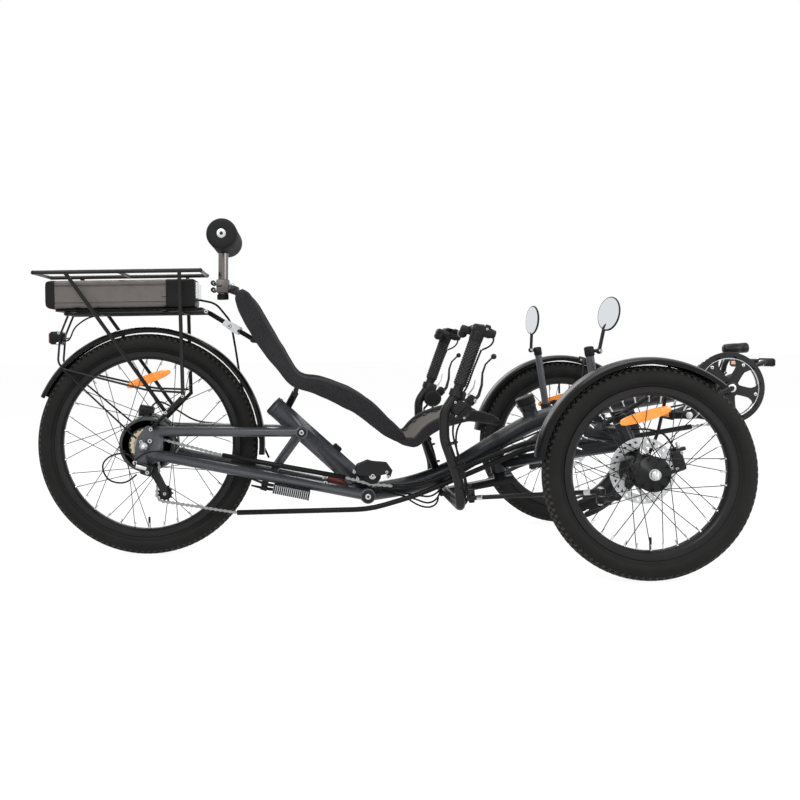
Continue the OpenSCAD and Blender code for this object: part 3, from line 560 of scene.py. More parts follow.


# %% [markdown]
# ## CAD nodes whose shape is right
# Exact tubes, blocks and turned parts keep their CAD shape. A copy of each is merged and its round
# faces are shaded smooth, so it takes a highlight as the real one. Where a copy is bevelled, its flat
# faces are joined first.
# %% Smooth copies of CAD nodes
def refined(node, finish, bevel=0.0, angle=32, tip=None):
    """tip is (a place across the trike, a finish for what lies beyond it)."""
    source = nodes[node].data.copy()
    source.materials.clear()
    work = bmesh.new()
    work.from_mesh(source)
    bmesh.ops.remove_doubles(work, verts=work.verts[:], dist=0.00002)
    if bevel:
        bmesh.ops.dissolve_limit(
            work, angle_limit=math.radians(1.0), verts=work.verts[:], edges=work.edges[:]
        )
    for face in work.faces:
        face.material_index = int(tip is not None and abs(face.calc_center_median().y) > tip[0] * MM)
    work.to_mesh(source)
    work.free()
    finishes = [finish] if tip is None else [finish, tip[1]]
    return as_piece(node + "_finished", source, finishes, BODY_OF[node], node, angle, bevel)


# %% [markdown]
# ## Repeats with Geometry Nodes
# Treads, spoke nipples, teeth and chain links repeat one small shape. A node tree places the
# copies: one tree sets them round a ring, the other sets two kinds in turn along a curve. Both end
# by making the copies real, and the result is stored as a plain mesh.
# %% Geometry Nodes helpers
def new_tree(name, inputs):
    tree = bpy.data.node_groups.new(name, "GeometryNodeTree")
    sockets = {}
    for label, kind in inputs:
        sockets[label] = tree.interface.new_socket(label, in_out="INPUT", socket_type=kind)
    tree.interface.new_socket("Geometry", in_out="OUTPUT", socket_type="NodeSocketGeometry")
    return tree, {label: item.identifier for label, item in sockets.items()}


def join_up(tree, kind, settings=None, links=None):
    node = tree.nodes.new(kind)
    for key, value in (settings or {}).items():
        setattr(node, key, value)
    for key, value in (links or {}).items():
        if isinstance(value, bpy.types.NodeSocket):
            tree.links.new(value, node.inputs[key])
        else:
            node.inputs[key].default_value = value
    return node


def ring_tree():
    tree, names = new_tree("ring_of_copies", [
        ("Geometry", "NodeSocketGeometry"), ("Unit", "NodeSocketObject"), ("Count", "NodeSocketInt"),
        ("Radius", "NodeSocketFloat"), ("Skew", "NodeSocketFloat"), ("Material", "NodeSocketMaterial"),
    ])
    given = tree.nodes.new("NodeGroupInput").outputs
    circle = join_up(tree, "GeometryNodeMeshCircle", None,
        {"Vertices": given["Count"], "Radius": given["Radius"]})
    index = join_up(tree, "GeometryNodeInputIndex")
    share = join_up(tree, "ShaderNodeMath", dict(operation="DIVIDE"), {0: index.outputs[0], 1: given["Count"]})
    turn = join_up(tree, "ShaderNodeMath", dict(operation="MULTIPLY"), {0: share.outputs[0], 1: 2 * math.pi})
    skewed = join_up(tree, "ShaderNodeMath", dict(operation="ADD"), {0: turn.outputs[0], 1: given["Skew"]})
    angles = join_up(tree, "ShaderNodeCombineXYZ", None, {2: skewed.outputs[0]})
    unit = join_up(tree, "GeometryNodeObjectInfo", None, {"Object": given["Unit"]})
    copies = join_up(tree, "GeometryNodeInstanceOnPoints", None, {
        "Points": circle.outputs["Mesh"], "Instance": unit.outputs["Geometry"], "Rotation": angles.outputs[0]})
    real = join_up(tree, "GeometryNodeRealizeInstances", None, {0: copies.outputs[0]})
    painted_up = join_up(tree, "GeometryNodeSetMaterial", None,
        {0: real.outputs[0], "Material": given["Material"]})
    tree.links.new(painted_up.outputs[0], tree.nodes.new("NodeGroupOutput").inputs[0])
    return tree, names


def path_tree():
    tree, names = new_tree("links_on_a_path", [
        ("Geometry", "NodeSocketGeometry"), ("Path", "NodeSocketObject"), ("First", "NodeSocketObject"),
        ("Second", "NodeSocketObject"), ("Count", "NodeSocketInt"), ("Material", "NodeSocketMaterial"),
    ])
    given = tree.nodes.new("NodeGroupInput").outputs
    path = join_up(tree, "GeometryNodeObjectInfo", None, {"Object": given["Path"]})
    points = join_up(tree, "GeometryNodeCurveToPoints", dict(mode="COUNT"), {
        0: path.outputs["Geometry"], "Count": given["Count"]})
    index = join_up(tree, "GeometryNodeInputIndex")
    odd = join_up(tree, "ShaderNodeMath", dict(operation="MODULO"), {0: index.outputs[0], 1: 2})
    even = join_up(tree, "ShaderNodeMath", dict(operation="SUBTRACT"), {0: 1, 1: odd.outputs[0]})
    both = tree.nodes.new("GeometryNodeJoinGeometry")
    for label, choice in (("First", odd), ("Second", even)):
        unit = join_up(tree, "GeometryNodeObjectInfo", None, {"Object": given[label]})
        copies = join_up(tree, "GeometryNodeInstanceOnPoints", None, {
            "Points": points.outputs["Points"], "Selection": choice.outputs[0],
            "Instance": unit.outputs["Geometry"], "Rotation": points.outputs["Rotation"]})
        tree.links.new(copies.outputs[0], both.inputs[0])
    real = join_up(tree, "GeometryNodeRealizeInstances", None, {0: both.outputs[0]})
    painted_up = join_up(tree, "GeometryNodeSetMaterial", None,
        {0: real.outputs[0], "Material": given["Material"]})
    tree.links.new(painted_up.outputs[0], tree.nodes.new("NodeGroupOutput").inputs[0])
    return tree, names


RING, PATH = ring_tree(), path_tree()


def helper_object(name, data):
    made = bpy.data.objects.new(name, data)
    scene.collection.objects.link(made)
    return made


def grown(name, pair, values):
    """Runs one of the trees and returns the result as a plain mesh."""
    tree, names = pair
    holder = helper_object(name + "_maker", bpy.data.meshes.new(name + "_seed"))
    modifier = holder.modifiers.new("copies", "NODES")
    modifier.node_group = tree
    for label, value in values.items():
        modifier[names[label]] = value
    bpy.context.view_layer.update()
    shown = holder.evaluated_get(bpy.context.evaluated_depsgraph_get())
    data = bpy.data.meshes.new_from_object(shown)
    holder.modifiers.remove(modifier)
    bpy.data.objects.remove(holder)
    data.name = name
    return data


def unit_shape(name, shape):
    """A small shape in metres round its own origin, for the trees to copy."""
    data = bpy.data.meshes.new(name)
    bmesh.ops.recalc_face_normals(shape.mesh, faces=shape.mesh.faces[:])
    bmesh.ops.scale(shape.mesh, vec=(MM, MM, MM), verts=shape.mesh.verts[:])
    shape.mesh.to_mesh(data)
    shape.mesh.free()
    return helper_object(name, data)


def ring_of(name, shape, count, radius, finish, start=0.0):
    unit = unit_shape(name + "_unit", shape)
    data = grown(name, RING, {"Unit": unit, "Count": count, "Radius": radius * MM, "Skew": 0.0,
                              "Material": finish.material})
    bpy.data.objects.remove(unit)
    if start:
        data.transform(Matrix.Rotation(math.radians(start), 4, "Z"))
    return data


def stand_up(data, centre, side):
    """Turns a ring made flat, about Z, to face across the trike at the centre."""
    turn = Matrix.Rotation(math.radians(-90 * side), 4, "X")
    data.transform(Matrix.Translation(spot(*centre)) @ turn)
    return data


print("helpers ready")

# %% [markdown]
# ## Tyres
# Each tyre is a lathe part: a round carcass with a raised tread band and a thin rib on each wall.
# The tread is rows of small blocks, set round the tyre by the ring tree.
# %% Tyres
TYRE_WIDTH = 50
WHEELS = {
    "rear": dict(body="rear_wheel", centre=REAR_AXLE, side=RIGHT, outer=303.5, bead=253.5),
    "right": dict(body="right_wheel", centre=Vector((FRONT_AXLE.x, -TRACK_HALF, FRONT_AXLE.z)), side=RIGHT,
                  outer=254.0, bead=203.0),
    "left": dict(body="left_wheel", centre=Vector((FRONT_AXLE.x, TRACK_HALF, FRONT_AXLE.z)), side=LEFT,
                 outer=254.0, bead=203.0),
}
ACROSS = Vector((0, 1, 0))
TREAD_PITCH = 17
# Each row: its tilt round the carcass, block size, shift as a share of the pitch, and lean
TREAD_ROWS = [
    (0, (3.0, 9.0, 9.5), 0.0, 0), (23, (3.0, 9.5, 8.0), 0.5, 24), (-23, (3.0, 9.5, 8.0), 0.5, -24),
    (46, (2.4, 7.0, 9.0), 0.0, 12), (-46, (2.4, 7.0, 9.0), 0.0, -12),
]


def tyre_profile(outer, bead):
    """The section from one bead round to the other, as (radius, offset)."""
    r = TYRE_WIDTH / 2 - 0.6
    middle_r = outer - 2.2 - r
    points = [(bead - 4, -11), (bead + 3, -12.5), (bead + 6, -16), (bead + 8, -16.6), (bead + 9, -18)]
    for i in range(29):
        a = math.radians(-118 + 236 * i / 28)
        rib = 0.7 if i in (8, 20) else 0
        points.append((middle_r + (r + rib) * math.cos(a), (r + rib) * math.sin(a)))
    points += [(bead + 9, 18), (bead + 8, 16.6), (bead + 6, 16), (bead + 3, 12.5), (bead - 4, 11)]
    return points


def tread_block(tilt, size, lean):
    """One block in a ring's unit frame: x outwards, z across the tyre."""
    block = Shape()
    rise = TYRE_WIDTH / 2 - 1.6
    turn = math.radians(tilt)
    place_x = -TYRE_WIDTH / 2 + rise * math.cos(turn)
    block.block(size, (place_x, 0, rise * math.sin(turn)), TREAD, (lean, -tilt, 0), soft=0)
    return block


def tyre(key):
    wheel = WHEELS[key]
    body = Shape()
    body.turned(tyre_profile(wheel["outer"], wheel["bead"]), wheel["centre"], ACROSS, TYRE, 120, closed=True)
    body.piece(key + "_carcass", wheel["body"], key + "_tyre", angle=50)
    around = round(wheel["outer"] * 2 * math.pi / TREAD_PITCH)
    for number, (tilt, size, shift, lean) in enumerate(TREAD_ROWS):
        block = tread_block(tilt, size, lean)
        data = ring_of(f"{key}_tread_{number}", block, around, wheel["outer"], TREAD,
            start=shift * 360 / around)
        stand_up(data, wheel["centre"], wheel["side"])
        as_piece(f"{key}_tread_{number}", data, [TREAD], wheel["body"])
    return around


for key in WHEELS:
    print(key, "tyre with", tyre(key), "blocks in each row")

# %% [markdown]
# ## Rims, spokes and hubs
# The rims, spokes and hub bodies keep their CAD shape, shaded smooth. Silver nipples, rim edges,
# end nuts, disc bolts and orange reflectors are added.
# %% Rims and spokes
NIPPLES_PER_SIDE = 18
RIM_DEPTH = 20


def nipples(key, bead):
    wheel = WHEELS[key]
    inner = bead - RIM_DEPTH
    for number, offset in enumerate((-3.0, 3.0)):
        nipple = Shape()
        nipple.turned([(1.6, -1), (1.9, 0.5), (1.9, 9), (2.6, 11), (2.8, 14)], (-14, 0, offset), (1, 0, 0),
            STEEL, 8)
        data = ring_of(f"{key}_nipples_{number}", nipple, NIPPLES_PER_SIDE, inner, STEEL,
                       start=number * 180 / NIPPLES_PER_SIDE)
        stand_up(data, wheel["centre"], wheel["side"])
        as_piece(f"{key}_nipples_{number}", data, [STEEL], wheel["body"])


for key, wheel in WHEELS.items():
    refined(key + "_rim", BLACK_METAL)
    refined(key + "_spokes", SPOKE)
    nipples(key, wheel["bead"])
    edge = Shape()
    for s in (-1, 1):
        edge.turned([(wheel["bead"] - 2.6, 13.6 * s), (wheel["bead"] - 2.0, 14.6 * s),
            (wheel["bead"] + 1.0, 14.7 * s), (wheel["bead"] + 1.4, 13.0 * s)], wheel["centre"], ACROSS,
            BLACK_METAL, 120, closed=True)
    edge.piece(key + "_rim_edges", wheel["body"])


# %% [markdown]
# A reflector clips between spokes. It is moulded in clear orange and shaped like a leaf, with a
# prism face each side and a narrow rim.
# %% Spoke reflectors
def leaf(long, wide, count=16):
    """A pointed oval outline, as (along, up)."""
    half = [(long / 2 * math.cos(math.pi * i / count), wide / 2 * math.sin(math.pi * i / count) ** 0.62)
        for i in range(count + 1)]
    return half + [(x, -z) for x, z in half[-2:0:-1]]


def reflector(name, body, centre, start, end, wide=25, thick=7):
    start, end = centre + Vector(start), centre + Vector(end)
    along = (end - start).normalized()
    up = Vector((-along.z, 0, along.x))
    middle_point, long = (start + end) / 2, (end - start).length
    made = Shape()
    sides = [(-1.0, 0.9), (-0.62, 0.985), (0.0, 1.0), (0.62, 0.985), (1.0, 0.9)]
    made.skin([[middle_point + ACROSS * (thick / 2 * step) + along * x * size + up * z * size for x,
        z in leaf(long, wide)] for step, size in sides], ORANGE_LENS)
    for s in (-0.3, 0.3):
        made.block((4, thick + 1.6, wide * 0.5), middle_point + along * long * s, ORANGE_LENS,
                   (0, -math.degrees(math.atan2(along.z, along.x)), 0), soft=1)
    made.piece(name, body)


reflector("right_reflector", "right_wheel", WHEELS["right"]["centre"], (-68, 0, 118), (54, 0, 152))
reflector("left_reflector", "left_wheel", WHEELS["left"]["centre"], (-68, 0, 118), (54, 0, 152))
reflector("rear_reflector", "rear_wheel", REAR_AXLE, (-58, 0, 158), (64, 0, 200))


# %% [markdown]
# ## Hubs, discs and calipers
# The front hubs turn on a spindle with a silver nut. A brake disc is stamped and then cut: a
# slotted track, swept arms and wide windows. Six small bolts hold each front disc, and a caliper
# straddles it ahead of the axle.
# %% Hubs and discs
def bolt_circle(shape, centre, axis, radius, count, width, finish=STEEL, start=0.0):
    side, up, axis = unit_frame(axis)
    for i in range(count):
        t = math.radians(start) + 2 * math.pi * i / count
        shape.bolt(Vector(centre) + (side * math.cos(t) + up * math.sin(t)) * radius, axis, width, finish)


DISC_IN = 42
DISC_R, DISC_BARS, DISC_ARMS, DISC_SWEEP = 80, 30, 6, math.radians(34)


def brake_disc(name, body, node, centre):
    """A brake disc: a slotted track on six swept arms, with wide windows between them."""
    made = Shape()
    for inner, outer in ((25, 31), (58, 66.5), (73, DISC_R)):
        made.turned([(inner, -1), (outer, -1), (outer, 1), (inner, 1)], centre, ACROSS, DISC_STEEL, 96,
            closed=True)
    made.turned([(21.5, -1), (25.6, -1), (25.6, 1), (21.5, 1)], centre, ACROSS, BLACK_METAL, 48, closed=True)
    for i in range(DISC_BARS):
        t = 2 * math.pi * i / DISC_BARS
        along, side = Vector((math.cos(t), 0, math.sin(t))), Vector((-math.sin(t), 0, math.cos(t)))
        made.plate([(66, -4.6), (73.6, -0.4), (73.6, 8.6), (66, 4.4)], 1.9, centre, along, side, DISC_STEEL)
    for i in range(DISC_ARMS):
        rows = []
        for k in range(9):
            reach = 28 + 32 * k / 8
            sweep = 2 * math.pi * i / DISC_ARMS + DISC_SWEEP * (k / 8) ** 1.3
            width = 5.6 + 3.2 * abs(k / 4 - 1) ** 2
            rows.append((reach, sweep, width / reach))
        outline = [(r * math.cos(t + w), r * math.sin(t + w)) for r, t, w in rows]
        outline += [(r * math.cos(t - w), r * math.sin(t - w)) for r, t, w in reversed(rows)]
        made.plate(outline, 1.9, centre, (1, 0, 0), (0, 0, 1), DISC_STEEL)
    made.piece(name, body, node)


for key, side in SIDES.items():
    centre = WHEELS[key]["centre"]
    out = Vector((0, side, 0))
    refined(key + "_hub", BLACK_METAL)
    brake_disc(key + "_disc", key + "_wheel", key + "_rotor", centre - out * DISC_IN)
    trim = Shape()
    bolt_circle(trim, centre - out * 43.2, -out, 22.5, 6, 6)
    trim.turned([(15, 30.5), (17, 31), (17, 32.5), (13, 33.5)], centre, out, BLACK_METAL, 32)
    trim.piece(key + "_hub_trim", key + "_wheel")
    end = Shape()
    # The spindle nut and end cap are grey paint whose lightness is a painted reflection of silver.
    end.turned([(13.4, 34), (13.4, 35.4), (11.4, 35.8), (11.4, 37)], centre, out, GREY_PAINTED_REFLECTION, 32)
    end.turned([(11, 36), (11, 40), (9.4, 41)], centre, out, BLACK_METAL, 32)
    end.turned([(9.2, 40), (9.2, 43.8), (7.8, 45.4), (3.8, 45.8)], centre, out, GREY_PAINTED_REFLECTION, 24)
    # A thin black hexagon on the end cap is the painted shade of its hex socket.
    end.turned([(3.6, 45.5), (3.6, 45.95)], centre, out, BLACK_METAL, 6)
    end.piece(key + "_spindle_cap", key + "_knuckle")

refined("hub_motor", MOTOR_PAINT)
brake_disc("rear_disc", "rear_wheel", "rear_rotor", REAR_AXLE + Vector((0, 54, 0)))
motor = Shape()
for s in (-1, 1):
    bolt_circle(motor, REAR_AXLE + Vector((0, 31.4 * s, 0)), (0, s, 0), 62, 6, 7, BLACK_METAL, 15)
    motor.turned([(70, 31.6 * s), (71, 32.4 * s), (67.5, 32.6 * s), (66.5, 31.6 * s)], REAR_AXLE, ACROSS,
        MOTOR_PAINT, 72)
bolt_circle(motor, REAR_AXLE + Vector((0, 55.1, 0)), (0, 1, 0), 22.5, 6, 6)
motor.piece("motor_trim", "rear_wheel")


# %% [markdown]
# ## Cassette, chainring teeth and chain
# Toothed wheels are a plain disc with a ring of small wedge teeth. The chain is two kinds of link
# in turn, at a pitch of 12.7 mm, along the same route as the CAD chain.
# %% Toothed wheels
CHAIN_Y = -50.0
PITCH = 12.7


def teeth(name, body, centre, radius, thick, finish, y, tooth=5.0):
    count = round(2 * math.pi * radius / PITCH)
    wedge = Shape()
    wedge.plate([(-1.5, -4.2), (tooth * 0.5, -2.3), (tooth, -0.9), (tooth, 0.9), (tooth * 0.5, 2.3),
        (-1.5, 4.2)], thick, (0, 0, 0), (1, 0, 0), (0, 1, 0), finish)
    data = ring_of(name, wedge, count, radius, finish)
    stand_up(data, (centre[0], y, centre[2]), RIGHT)
    as_piece(name, data, [finish], body)
    return count


cogs = Shape()
cog_sizes = [(44, -36.2), (39, -39.4), (34.5, -42.6), (30, -45.0), (23.4, CHAIN_Y), (21, -54.2)]
for number, (radius, y) in enumerate(cog_sizes):
    finish = BRASS if number < 3 else STEEL
    cogs.disc(REAR_AXLE + Vector((0, y, 0)), ACROSS, radius - 2.2, 1.8, finish, 0.3, 48, hole=17)
    teeth(f"cog_teeth_{number}", "rear_wheel", REAR_AXLE, radius - 2.4, 1.7, finish, y, 3.4)
cogs.turned([(17, -34.5), (20.5, -34.5), (20.5, -56), (17, -56)], REAR_AXLE, ACROSS, STEEL, 36, closed=True)
cogs.disc(REAR_AXLE + Vector((0, -57.6, 0)), ACROSS, 16.8, 2.6, STEEL, 0.6, 32, hole=9)
cogs.piece("cassette_cogs", "rear_wheel", "cassette")


# %% Chain and chainring
COG_R, PULLEY_R, RING_R, IDLER_R = 28, 23, 91, 25
UPPER_PULLEY = Vector((14, CHAIN_Y, REAR_AXLE.z - 56))
LOWER_PULLEY = Vector((52, CHAIN_Y, REAR_AXLE.z - 130))
IDLER = Vector((614, CHAIN_Y, 214))


def toward(a, b):
    return math.degrees(math.atan2(b[-1] - a[-1], b[0] - a[0]))


def crossing(a, ra, b, rb, side):
    """The angle at which a chain crossing over from wheel a to wheel b leaves a."""
    return toward(a, b) + side * math.degrees(math.acos((ra + rb) / math.hypot(b[0] - a[0], b[-1] - a[-1])))


def leaving(a, ra, point, side):
    """The angle at which a straight run to a point leaves wheel a."""
    return toward(a,
        point) + side * math.degrees(math.acos(ra / math.hypot(point[0] - a[0], point[-1] - a[-1])))


def arc(centre, radius, start, end, count):
    turns = [math.radians(start + (end - start) * i / count) for i in range(count + 1)]
    return [(centre[0] + radius * math.cos(t), centre[-1] + radius * math.sin(t)) for t in turns]


RIM_IN, RIM_OUT = (208, 274), (246, 118)
leave_cog = crossing(REAR_AXLE, COG_R, UPPER_PULLEY, PULLEY_R, -1) + 360
leave_upper = crossing(UPPER_PULLEY, PULLEY_R, LOWER_PULLEY, PULLEY_R, 1)
leave_lower = leaving(LOWER_PULLEY, PULLEY_R, RIM_OUT, -1) + 360
FRONT_IN, FRONT_OUT = (CRANK.x - 102, CRANK.z + 42), (CRANK.x - 100, CRANK.z - 104)
runs = [
    [RIM_IN, *arc(REAR_AXLE, COG_R, leaving(REAR_AXLE, COG_R, RIM_IN, 1), leave_cog, 16),
     *arc(UPPER_PULLEY, PULLEY_R, leave_cog - 180, leave_upper, 8),
     *arc(LOWER_PULLEY, PULLEY_R, leave_upper + 180, leave_lower, 8), RIM_OUT],
    [(541, 209), *arc(IDLER, IDLER_R, 255, 275, 3), (668, 184)],
    [FRONT_IN, *arc(CRANK, RING_R, leaving(CRANK, RING_R, FRONT_IN, -1), leaving(CRANK, RING_R, FRONT_OUT, 1),
        40),
     FRONT_OUT],
]


def link(wide, finish):
    """One link lying along z, its pins across x: two waisted side plates and a roller."""
    made = Shape()
    half = PITCH / 2
    outline = [(-half - 3.2, 0), (-half, 4.1), (0, 1.9), (half, 4.1), (half + 3.2, 0), (half, -4.1), (0, -1.9),
        (-half, -4.1)]
    for s in (-1, 1):
        made.plate(outline, 0.9, (wide * s / 2, 0, 0), (0, 0, 1), (0, 1, 0), finish)
    for end in (-half, half):
        made.turned([(1.9, -wide / 2 - 0.6), (1.9, wide / 2 + 0.6)], (0, 0, end), (1, 0, 0), finish, 6)
    return made


CHAIN_STEEL = bare("chain_steel", (0.3, 0.3, 0.3), 0.3, slot="steel")
link_units = unit_shape("outer_link", link(7.0, CHAIN_STEEL)), unit_shape("inner_link", link(5.0, CHAIN_STEEL))
link_work, total = bmesh.new(), 0
for number, run in enumerate(runs):
    data = bpy.data.curves.new("chain_run", "CURVE")
    data.dimensions = "3D"
    spline = data.splines.new("POLY")
    spline.points.add(len(run) - 1)
    for item, (x, z) in zip(spline.points, run):
        item.co = (*spot(x, CHAIN_Y, z), 1)
        item.tilt = 0
    length = sum(math.dist(a, b) for a, b in zip(run, run[1:]))
    path = helper_object("chain_run", data)
    count = round(length / PITCH)
    grown_run = grown("chain_part", PATH, {"Path": path, "First": link_units[0], "Second": link_units[1],
                                           "Count": count, "Material": CHAIN_STEEL.material})
    link_work.from_mesh(grown_run)
    total += count
    bpy.data.objects.remove(path)
chain_mesh = bpy.data.meshes.new("chain_links")
link_work.to_mesh(chain_mesh)
link_work.free()
for unit in link_units:
    bpy.data.objects.remove(unit)
as_piece("chain_links", chain_mesh, [CHAIN_STEEL], "frame", "chain")
refined("chain_tubes", PLASTIC, angle=50)
print("chain links:", total)

# %% [markdown]
# The chainring is a toothed ring on a five-armed black spider, with a guard ring outside it. The
# guard's inner edge is bare metal, which draws a thin silver line round each window.
# %% Chainring and cranks
CRANK_ANGLE = 22
ARM_LENGTH = 170
SPIDER_TURNS = [math.radians(57.6 + 72 * i) for i in range(5)]


def spider(y, outer, inner, thick, finish, rim):
    """A flat ring with five tapering arms to a hub."""
    made = Shape()
    made.turned([(inner, -thick / 2), (outer - 0.8, -thick / 2), (outer, 0), (outer - 0.8, thick / 2),
        (inner, thick / 2)], (CRANK.x, y, CRANK.z), ACROSS, finish, 96, closed=True)
    made.turned([(inner - 0.7, -thick * 0.35), (inner + 0.2, -thick * 0.52), (inner + 1.6, -thick * 0.56),
        (inner + 1.6, thick * 0.56), (inner + 0.2, thick * 0.52), (inner - 0.7, thick * 0.35)],
        (CRANK.x, y, CRANK.z), ACROSS, rim, 96, closed=True)
    for t in SPIDER_TURNS:
        out, side = Vector((math.cos(t), 0, math.sin(t))), Vector((-math.sin(t), 0, math.cos(t)))
        wide = [(20, 14), (34, 13), (48, 13), (58, 14), (67, 19), (74, 27), (inner + 1, 35)]
        outline = [(r, w) for r, w in wide] + [(r, -w) for r, w in reversed(wide)]
        made.plate(outline, thick, (CRANK.x, y, CRANK.z), out, side, finish)
        made.bolt(Vector((CRANK.x, y, CRANK.z)) + out * (inner - 7) + Vector((0, -thick / 2, 0)), (0, -1, 0), 9,
            STEEL, 2.4)
    return made


ring = spider(-59.0, 97, 79, 3.6, BLACK_METAL, ALLOY)
ring.turned([(78, -2), (86.5, -2), (86.5, 2), (78, 2)], (CRANK.x, CHAIN_Y, CRANK.z), ACROSS, STEEL, 96,
    closed=True)
ring.turned([(27, -61.5), (27, -46), (22, -44), (9, -44), (9, -61.5)], (CRANK.x, 0, CRANK.z), ACROSS,
    BLACK_METAL, 48, closed=True)
for t in SPIDER_TURNS:
    at = Vector((CRANK.x + 81 * math.cos(t), 0, CRANK.z + 81 * math.sin(t)))
    ring.turned([(6, -58), (6, -47)], at, ACROSS, BLACK_METAL, 16)
ring.piece("chainring_and_guard", "crankset", "chainring")
print("chainring teeth:", teeth("chainring_teeth", "crankset", CRANK, 86, 3.2, STEEL, CHAIN_Y, 5.4))


def crank_arm(side):
    """A forged arm: a rounded bar that tapers to the pedal eye."""
    turn = math.radians(CRANK_ANGLE) + (0 if side == LEFT else math.pi)
    along = Vector((math.cos(turn), 0, math.sin(turn)))
    y = 70 * side
    root = Vector((CRANK.x, y, CRANK.z))
    made = Shape()
    steps = [0, 12, 30, 80, 130, 155, 166, ARM_LENGTH + 11]
    widths = [30, 30, 24, 20, 18, 19, 22, 16]
    made.tube([root + along * s + Vector((0, side * 2.0 * min(s, 60) / 60, 0)) for s in steps], 0, BLACK_METAL,
        20, widths=widths, flat=0.62)
    made.turned([(17, -6.5), (17, 5.5), (15.5, 6.8), (12.5, 7)], root, (0, side, 0), BLACK_METAL, 32)
    made.turned([(11, 7), (11, 9), (9.5, 10), (6, 10)], root, (0, side, 0), STEEL, 24)
    # A thin black hexagon on the steel cap is the painted shade of its hex socket.
    made.turned([(5.8, 10), (5.8, 10.3)], root, (0, side, 0), BLACK_METAL, 6)
    made.turned([(9.2, 5), (9.2, 9.5)], root + along * ARM_LENGTH, (0, side, 0), STEEL, 6)
    made.turned([(4.5, 6), (4.5, 20), (4, 104)], root + along * ARM_LENGTH, (0, side, 0), STEEL, 16)
    return made, root + along * ARM_LENGTH


both = Shape()
both.turned([(8.4, -66), (8.4, 66)], CRANK, ACROSS, STEEL, 32)
both.piece("crank_axle", "crankset")
for side, key in ((RIGHT, "right"), (LEFT, "left")):
    arm, eye = crank_arm(side)
    arm.piece(key + "_crank_arm", "crankset", "crank_arms" if side == RIGHT else ())
    pedal = Shape()
    mid = eye + Vector((0, side * 63, 0))
    long, wide, tall = 94, 88, 24
    for s in (-1, 1):
        pedal.block((9, wide, tall - 4), mid + Vector((s * (long / 2 - 5), 0, 0)), PLASTIC, soft=3)
        pedal.block((4, 58, 10), mid + Vector((s * (long / 2 - 1.6), 0, 0)), ORANGE_LENS, soft=1)
        pedal.block((long - 8, 8, tall - 6), mid + Vector((0, s * (wide / 2 - 5), 0)), PLASTIC, soft=2.5)
        pedal.block((10, wide - 14, tall - 8), mid + Vector((s * 18, 0, 0)), PLASTIC, soft=2)
    pedal.turned([(11, -wide / 2 + 2), (11, wide / 2 - 2)], mid, ACROSS, PLASTIC, 20)
    pedal.turned([(9, wide / 2 - 3), (9, wide / 2 - 0.4), (6, wide / 2)], mid, (0, side, 0), STEEL, 20)
    for i in range(7):
        for s in (-1, 1):
            for face in (-1, 1):
                pedal.block((5, 4, 3),
                    mid + Vector((s * (long / 2 - 6), -36 + 12 * i, face * (tall / 2 - 1.6))), PLASTIC, soft=0)
    pedal.piece(key + "_pedal_body", key + "_pedal", key + "_pedal")

# %% [markdown]
# ## Rear gear arm and idler
# The gear arm hangs below the dropout: a parallelogram body, a cage of two thin plates and two
# toothed pulleys. The idler turns the chain under the main pivot.
# %% Derailleur and idler
gear = Shape()
BODY_Y, PULLEY_TEETH = -84.0, 11
gear.block((30, 18, 30), (8, BODY_Y, 242), BLACK_METAL, (0, 18, 0), soft=5)
gear.block((44, 14, 12), (-2, BODY_Y - 6, 250), BLACK_METAL, (0, 14, 0), soft=4)
gear.block((30, 5, 10), (-4, BODY_Y - 14, 250), ALLOY, (0, 16, 0), soft=2)
gear.tube([(10, BODY_Y + 6, 240), (12, -66, 243), (14, -58, 246)], 15, BLACK_METAL, 16)
gear.bolt((-22, BODY_Y + 2, 262), (0, -1, 0), 13, STEEL)
gear.bolt((12, BODY_Y - 9, 236), (0, -1, 0), 11, STEEL)
for y in (-57.5, -42.5):
    outline = [(-9, 6), (5, 10), (12, 3), (46, -66), (49, -76), (42, -84), (32, -82), (27, -70), (-8, -5)]
    gear.plate(outline, 1.8, (UPPER_PULLEY.x, y, UPPER_PULLEY.z), (1, 0, 0), (0, 0, 1), BLACK_METAL)
for pulley in (UPPER_PULLEY, LOWER_PULLEY):
    gear.disc(pulley, ACROSS, 18.4, 2.6, PLASTIC, 0.4, 32, hole=8)
    gear.turned([(8, -3.4), (8, 3.4)], pulley, ACROSS, STEEL, 20)
    gear.bolt(pulley + Vector((0, -8.4, 0)), (0, -1, 0), 9, STEEL)
gear.piece("gear_arm", "frame", "derailleur")
for name, pulley in (("upper_pulley_teeth", UPPER_PULLEY), ("lower_pulley_teeth", LOWER_PULLEY)):
    wedge = Shape()
    wedge.plate([(-1, -3.4), (4.2, -1), (4.2, 1), (-1, 3.4)], 2.4, (0, 0, 0), (1, 0, 0), (0, 1, 0), PLASTIC)
    as_piece(name, stand_up(ring_of(name, wedge, PULLEY_TEETH, 18.2, PLASTIC), pulley, RIGHT), [PLASTIC],
        "frame")

